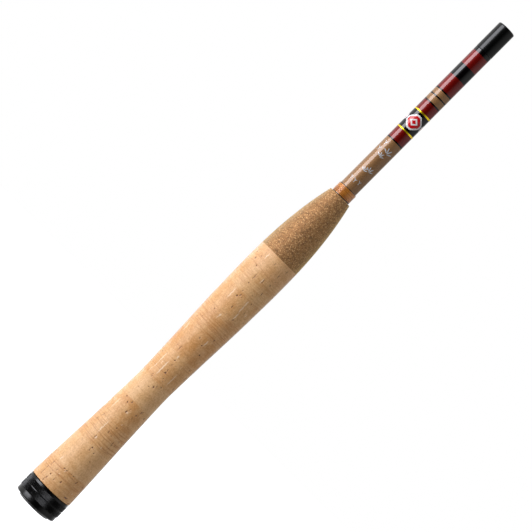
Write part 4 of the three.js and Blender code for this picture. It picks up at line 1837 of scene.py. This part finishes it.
    def sleeve(self) -> Surface:
        """The collar, the tube in the first cork ring, the lip, the blank's socket and the thread.

        Returns:
            The sleeve.
        """
        bore, shoulder = self.thread_radius + self.bore_gap, self.cap_top + self.ring_room
        room = self.ring_groove_radius + self.ring_room
        bottom, top = self.lip_bottom - self.thread_end, shoulder + self.thread_start
        outside = path(
            (room, self.cap_top),
            (self.collar_radius - self.collar_edge, self.cap_top),
            (self.collar_radius, self.cap_top + self.collar_edge),
            (self.collar_radius, self.collar_top - self.collar_chamfer),
            (self.collar_radius - self.collar_chamfer, self.collar_top),
            (self.sleeve_radius, self.collar_top),
            (self.sleeve_radius, self.sleeve_top),
            (self.socket_radius, self.sleeve_top),
            (self.socket_radius, self.lip_top),
            (self.lip_radius, self.lip_top),
            (self.lip_radius, self.lip_bottom),
            (bore, self.lip_bottom),
        )
        inside = path((bore, shoulder), (room, shoulder))
        stretches = [outside, self.thread(bore, bore + self.thread_depth, bottom, top), inside]
        return lathe_stretches(stretches, self.plain_columns, ring=True)

    def foot(self) -> Surface:
        """A disc with a rounded edge, pressed into the seat, with a shallow dish underneath.

        Returns:
            The disc.
        """
        outline = path(
            (0.0, self.dish_depth),
            (self.dish_radius - self.dish_slope, self.dish_depth),
            (self.dish_radius, 0.0),
            arc((self.foot_radius - self.foot_edge, self.foot_edge), self.foot_edge, -90.0, 0.0),
            (self.foot_radius, self.seat_top),
            (0.0, self.seat_top),
        )
        return lathe(outline, self.plain_columns)

    def pad(self) -> Surface:
        """A round cushion on the cup's floor, with a rounded upper edge.

        Returns:
            The cushion.
        """
        radius, top = self.cup_radius - self.pad_gap, self.cup_floor + self.pad_height
        fillet = arc((radius - self.pad_fillet, top - self.pad_fillet), self.pad_fillet, 0.0, 90.0)
        outline = path((0.0, self.cup_floor), (radius, self.cup_floor), fillet, (0.0, top))
        return lathe(outline, self.pad_columns)

    def build(self) -> None:
        """Adds the cap's pieces on the cap, its ring on the travelling ring, and the sleeve."""
        metal = (BLACK_ANODISED, Slot.METAL, Crease.FINE)
        foot, pad = (FOOT_RUBBER, Slot.RUBBER, Crease.PLAIN), (PAD_FOAM, Slot.FOAM, Crease.PLAIN)
        round_rubber = (RING_RUBBER, Slot.RUBBER, Crease.ROUND)
        ring = torus((self.ring_radius, self.ring_height), self.ring_section)
        for name, surface, (finish, slot, crease), body, node in (
            ("cap_shell", self.cap_shell(), metal, Body.CAP, "butt_cap"),
            ("cap_spigot", self.spigot(), metal, Body.CAP, "butt_cap"),
            ("foot", self.foot(), foot, Body.CAP, "butt_bumper"),
            ("cup_pad", self.pad(), pad, Body.CAP, "cap_cushion"),
            ("cap_ring", ring, round_rubber, Body.CAP_RING, "cap_o_ring"),
            ("screw_sleeve", self.sleeve(), metal, Body.HANDLE, "butt_sleeve"),
        ):
            add_piece(name, [surface], finish, body, [node], crease)


# Inner sections


@dataclass
class InnerSections:
    """Eight nested tubes and the solid tip, sized as the frame's own boxes give them."""

    wall: float = 0.35
    chamfer: float = 0.12
    mouth_band: float = 9.0
    line_width: float = 0.9
    bare_length: float = 46.0
    bare_fade: float = 6.0
    taper_share: float = 0.001
    columns: int = 72
    plain_rows: int = 28
    tip_end_share: float = 0.44
    tip_columns: int = 32
    tip_rows: int = 30
    ferrule_wall: float = 0.3
    ferrule_columns: int = 48
    lip: float = 0.02
    lip_heights: tuple[float, float] = (0.8, 0.4)

    def sizes(self, node: str) -> tuple[float, float, float]:
        """A node's lowest and highest heights and its radius, from the frame."""
        low, high = (np.array(corner) * PER_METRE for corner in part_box(node))
        return float(low[2]), float(high[2]), float(high[0])

    def line_edges(self, top: float) -> np.ndarray:
        """Heights at which the yellow line begins and ends, below the maroon mouth."""
        return np.array([top - self.mouth_band - self.line_width, top - self.mouth_band])

    def coats(self, heights: np.ndarray, top: float) -> dict[str, np.ndarray]:
        """Lacquer up a section: sanded butt, plain lacquer, a yellow line, a maroon mouth.

        Args:
            heights: Heights of the outline's points.
            top: The section's top, or infinity for one without a line and a mouth.

        Returns:
            Traces: colours, and bareness from 0 to 1.
        """
        chosen = np.array([paint.value for paint in (Paint.SMOKE, Paint.YELLOW, Paint.MAROON)])
        sanded = heights.min() + self.bare_length
        bare = 1.0 - smooth_step(sanded - self.bare_fade, sanded, heights)
        return {"paint": chosen[np.searchsorted(self.line_edges(top), heights)], "bare": bare}

    def tube(self, bottom: float, top: float, butt: float) -> Surface:
        """A tapered tube with a chamfered mouth, painted by height.

        Args:
            bottom: Its lowest height.
            top: Its highest.
            butt: Its radius at the bottom.

        Returns:
            The tube.
        """
        plain = np.linspace(bottom, top - self.chamfer, self.plain_rows)
        paired = self.line_edges(top)[:, None] + np.array([-HAIR, HAIR])
        heights = np.sort(np.concatenate([plain, paired.ravel()]))
        radii = butt - self.taper_share * (heights - bottom) / 2.0
        mouth = butt - self.taper_share * (top - bottom) / 2.0
        outline = path(
            (butt - self.wall, bottom),
            np.stack([radii, heights], axis=-1),
            (mouth - self.chamfer, top),
            (mouth - self.wall, top),
        )
        return lathe(outline, self.columns, ring=True, traces=self.coats(outline[:, 1], top))

    def tip(self, bottom: float, top: float, butt: float) -> Surface:
        """A slender solid cone, whose radius falls evenly from butt to end.

        Args:
            bottom: Its lowest height.
            top: Its highest.
            butt: Its radius at the bottom.

        Returns:
            The cone.
        """
        heights = np.linspace(bottom, top, self.tip_rows)
        radii = butt * (1.0 - (1.0 - self.tip_end_share) * (heights - bottom) / (top - bottom))
        outline = path((0.0, bottom), np.stack([radii, heights], axis=-1), (0.0, top))
        return lathe(outline, self.tip_columns, traces=self.coats(outline[:, 1], math.inf))

    def ferrule(self, bottom: float, top: float, radius: float) -> Surface:
        """A short tube with rounded ends and a small lip near its mouth.

        Args:
            bottom: Its lowest height.
            top: Its highest.
            radius: Its radius below the lip.

        Returns:
            The tube.
        """
        fillet = self.chamfer
        outline = path(
            (radius - self.ferrule_wall, bottom),
            arc((radius - fillet, bottom + fillet), fillet, -90.0, 0.0, 3),
            (radius, top - self.lip_heights[0]),
            (radius + self.lip, top - self.lip_heights[1]),
            arc((radius - fillet, top - fillet), fillet, 0.0, 90.0, 3),
            (radius - self.ferrule_wall, top),
        )
        return lathe(outline, self.ferrule_columns, ring=True)

    def build(self) -> None:
        """Adds each section on its own body, then the tip and its ferrule."""
        for number in range(2, 10):
            node = f"section_{number}"
            surface = self.tube(*self.sizes(node))
            add_piece(f"tube_{number}", [surface], SECTION_LACQUER, node, [node])
        node = "tip_section"
        tip = self.tip(*self.sizes(node))
        add_piece("tip_rod", [tip], SECTION_LACQUER, Body.TIP, [node])
        node = "lilian_ferrule"
        add_piece("cord_ferrule", [self.ferrule(*self.sizes(node))], RED_TUBE, Body.TIP, [node])


# Plug


@dataclass
class Plug:
    """The plug that closes the mouth: crowned head, shank with two rubber rings, blind bore."""

    mouth: float = 383.6
    head_radius: float = 6.05
    head_length: float = 20.4
    head_fillet: float = 0.9
    head_chamfer: float = 0.25
    crown: float = 0.25
    crown_rows: int = 7
    rim_end: float = 84.0
    shank_radius: float = 5.2
    shank_length: float = 22.0
    shank_chamfer: float = 0.6
    bore_radius: float = 2.62
    bore_depth: float = 18.0
    ring_shares: tuple[float, ...] = (0.25, 0.7)
    ring_section: float = 0.5
    ring_gap: float = 0.07
    ring_radius: float = 4.83
    columns: int = 128

    def body(self) -> Surface:
        """The outline walked from the bore's end down, out and up over the head.

        The crown rises over the rim's end with one minus the square of the share of the
        radius that is left.

        Returns:
            The plug.
        """
        bottom, top = self.mouth - self.shank_length, self.mouth + self.head_length
        half = self.ring_section + self.ring_gap
        root = self.ring_radius - self.ring_section - self.ring_gap
        grooves = []
        for share in self.ring_shares:
            middle = bottom + share * self.shank_length
            low, high = middle - half, middle + half
            grooves += [(self.shank_radius, low), (root, low), (root, high), (self.shank_radius, high)]
        rim_centre = (self.head_radius - self.head_fillet, top - self.crown - self.head_fillet)
        rim = arc(rim_centre, self.head_fillet, 0.0, self.rim_end, 8)
        left = 1.0 - np.linspace(0.0, 1.0, self.crown_rows)[1:]
        crown = np.stack([rim[-1, 0] * left, rim[-1, 1] + (top - rim[-1, 1]) * (1.0 - left**2)], axis=-1)
        outline = path(
            (0.0, bottom + self.bore_depth),
            (self.bore_radius, bottom + self.bore_depth),
            (self.bore_radius, bottom),
            (self.shank_radius - self.shank_chamfer, bottom),
            (self.shank_radius, bottom + self.shank_chamfer),
            grooves,
            (self.shank_radius, self.mouth),
            (self.head_radius - self.head_chamfer, self.mouth),
            (self.head_radius, self.mouth + self.head_chamfer),
            rim,
            crown,
        )
        return lathe(outline, self.columns)

    def build(self) -> None:
        """Adds the plug and its rings."""
        add_piece("mouth_plug", [self.body()], PLUG_PLASTIC, Body.PLUG, ["tip_plug"])
        for number, share in enumerate(self.ring_shares, start=1):
            height = self.mouth - (1.0 - share) * self.shank_length
            ring = torus((self.ring_radius, height), self.ring_section)
            name, node = f"plug_ring_{number}", f"plug_o_ring_{number}"
            add_piece(name, [ring], RING_RUBBER, Body.PLUG, [node], Crease.ROUND)


# Studio


@dataclass
class Studio:
    """Camera, lamps, surroundings and floor.

    The camera's and lamps' sizes are metres, and the floor's height is millimetres. The rings
    of the surroundings are (degrees to the right of the camera's side, level) pairs.
    """

    distance: float = 1.782
    aim_height: float = 0.2007
    aim_side: float = -0.00238
    roll: float = 44.81
    half_view: float = 5.12
    sensor: float = 36.0
    clip: tuple[float, float] = (0.05, 100.0)
    key_turn: float = -60.0
    key_distance: float = 1.3
    key_height: float = 0.35
    key_size: tuple[float, float] = (0.93, 1.2)
    key_radiance: float = 7.3
    key_tint: Colour = (0.97, 0.98, 1.05)
    rim_turn: float = -134.0
    rim_size: tuple[float, float] = (0.5, 1.2)
    rim_radiance: float = 6.4
    rim_tint: Colour = (0.84, 1.02, 1.50)
    floor_size: float = 3.0
    floor_height: float = -9.5
    floor_columns: int = 64
    floor_level: float = 0.43
    floor_glow: float = 0.9
    surround: tuple[tuple[float, float], ...] = (
        (-180.0, 1.0), (-150.0, 1.0), (-125.0, 1.05), (-100.0, 1.15), (-86.0, 0.8), (-40.0, 0.4),
        (-30.0, 0.3), (-20.0, 0.04), (-8.0, 0.012), (22.0, 0.014), (40.0, 0.22), (55.0, 0.38),
        (80.0, 0.50), (110.0, 0.34), (140.0, 0.42), (160.0, 1.0), (180.0, 1.0),
    )
    above: tuple[tuple[float, float], ...] = (
        (-180.0, 1.0), (-120.0, 0.9), (-80.0, 0.5), (-40.0, 0.15), (20.0, 0.12), (45.0, 0.6),
        (75.0, 0.85), (125.0, 1.4), (180.0, 1.0),
    )
    above_from: tuple[float, float] = (0.25, 0.5)
    pole_from: tuple[float, float] = (0.8, 0.92)
    pole_level: float = 0.1

    def camera(self) -> None:
        """Looks along +Y, square to the rod, rolled so that the rod climbs to the right."""
        data = bpy.data.cameras.new("camera")
        data.sensor_width = self.sensor
        data.lens = self.sensor / 2.0 / math.tan(math.radians(self.half_view))
        data.clip_start, data.clip_end = self.clip
        camera = bpy.data.objects.new("camera", data)
        camera.location = (self.aim_side, -self.distance, self.aim_height)
        camera.rotation_euler = (math.radians(90.0), -math.radians(self.roll), 0.0)
        bpy.context.scene.collection.objects.link(camera)
        bpy.context.scene.camera = camera

    def lamp(
        self, name: str, turn: float, size: tuple[float, float], radiance: float, tint: Colour
    ) -> bpy.types.Object:
        """A tall soft box; its power gives the wanted radiance over its area.

        Args:
            name: The lamp's name.
            turn: Degrees round the rod from the camera's side, to the right.
            size: Width and height in metres.
            radiance: Radiance of its face.
            tint: Colour of its light.

        Returns:
            The lamp, which the camera doesn't see.
        """
        data = bpy.data.lights.new(name, "AREA")
        data.shape = "RECTANGLE"
        data.size, data.size_y = size
        data.energy = radiance * math.pi * size[0] * size[1]
        data.color = tint
        lamp = bpy.data.objects.new(name, data)
        a = math.radians(turn)
        lamp.location = (self.key_distance * math.sin(a), -self.key_distance * math.cos(a), self.key_height)
        lamp.rotation_euler = (math.radians(90.0), 0.0, a)
        lamp.visible_camera = False
        bpy.context.scene.collection.objects.link(lamp)
        return lamp

    def lamps(self) -> None:
        """The key lamp, and a rim lamp behind the left edge that shows in no reflection."""
        self.lamp("key", self.key_turn, self.key_size, self.key_radiance, self.key_tint)
        rim = self.lamp("rim", self.rim_turn, self.rim_size, self.rim_radiance, self.rim_tint)
        rim.visible_glossy = False

    def world(self) -> None:
        """White to the camera; to the rod, greys by direction, level, higher up and at the poles."""
        world = bpy.data.worlds.new("studio")
        world.use_nodes = True
        bpy.context.scene.world = world
        wiring = Wiring(world.node_tree)
        direction = wiring.node("ShaderNodeTexCoord", output="Generated")
        x = wiring.node("ShaderNodeSeparateXYZ", inputs={0: direction})
        y, z = x.output(1), x.output(2)
        angle = wiring.node("ShaderNodeMath", {"operation": "ARCTAN2"}, {0: x, 1: 0.0 - y})
        turn = angle / (2.0 * math.pi) + 0.5
        level, above = (self.greys(wiring, turn, ring) for ring in (self.surround, self.above))
        slope = wiring.node("ShaderNodeMath", {"operation": "ABSOLUTE"}, {0: z})
        high = wiring.step(slope, *self.above_from)
        pole = wiring.step(slope, *self.pole_from)
        around_rod = (level * (1.0 - high) + high * above) * (1.0 - pole) + pole * self.pole_level
        seen = wiring.node("ShaderNodeLightPath", output="Is Camera Ray")
        strength = seen + (1.0 - seen) * around_rod
        sky = wiring.node("ShaderNodeBackground", inputs={"Color": (1.0, 1.0, 1.0), "Strength": strength})
        wiring.node("ShaderNodeOutputWorld", inputs={"Surface": sky})

    def greys(self, wiring: Wiring, turn: Signal, ring: Sequence[tuple[float, float]]) -> Signal:
        """Levels of up to 2, blended from place to place round a ring.

        Args:
            wiring: The wiring of the world's tree.
            turn: The direction as a share of a turn.
            ring: Places in degrees and their levels.

        Returns:
            The level in that direction.
        """
        stops = [((place + 180.0) / 360.0, level / 2.0) for place, level in ring]
        ramp = wiring.node("ShaderNodeValToRGB", {"stops": stops}, {0: turn})
        return wiring.node("ShaderNodeRGBToBW", inputs={0: ramp}) * 2.0

    def floor(self) -> None:
        """A round floor, white to the camera but for a faint shadow.

        Reflections and rays from below go through it.
        """
        floor_material = bpy.data.materials.new("floor")
        floor_material.use_nodes = True
        wiring = Wiring(floor_material.node_tree)
        rays = wiring.node("ShaderNodeLightPath", output="Is Camera Ray")
        below = wiring.node("ShaderNodeNewGeometry", output="Backfacing")
        glossy = rays.output("Is Glossy Ray")
        unseen = wiring.node("ShaderNodeMath", {"operation": "MAXIMUM"}, {0: glossy, 1: below})
        plain = wiring.node("ShaderNodeBsdfDiffuse", inputs={"Color": (self.floor_level,) * 3})
        light = {"Color": (1.0, 1.0, 1.0), "Strength": self.floor_glow * rays}
        glow = wiring.node("ShaderNodeEmission", inputs=light)
        shown = wiring.node("ShaderNodeAddShader", inputs={0: plain, 1: glow})
        clear = wiring.node("ShaderNodeBsdfTransparent")
        mixed = wiring.node("ShaderNodeMixShader", inputs={0: unseen, 1: shown, 2: clear})
        wiring.node("ShaderNodeOutputMaterial", inputs={"Surface": mixed})
        outline = path((self.floor_size * PER_METRE, self.floor_height), (0.0, self.floor_height))
        disc = lathe(outline, self.floor_columns)
        mesh = bpy.data.meshes.new("floor")
        places = disc.points[disc.kept()] * MM
        mesh.from_pydata(places.tolist(), [], disc.faces()[1].tolist())
        mesh.materials.append(floor_material)
        floor = bpy.data.objects.new("floor", mesh)
        bpy.context.scene.collection.objects.link(floor)

    def build(self) -> None:
        """Sets up everything that is not the rod."""
        self.camera()
        self.lamps()
        self.world()
        self.floor()
        bpy.context.scene.view_settings.view_transform = "Standard"


def corners(box: Sequence[Sequence[float]]) -> list[list[float]]:
    """A box as plain lists."""
    return [[float(value) for value in corner] for corner in box]


def main() -> None:
    """Loads the frame and builds every class in order."""
    logging.basicConfig(level=logging.INFO, format="%(name)s: %(message)s")
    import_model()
    Studio().build()
    blank = Blank()
    blank.build()
    Ornaments(blank).build()
    Grip(blank).build()
    Winding(blank).build()
    ButtEnd().build()
    InnerSections().build()
    Plug().build()


if __name__ == "__main__":
    main()
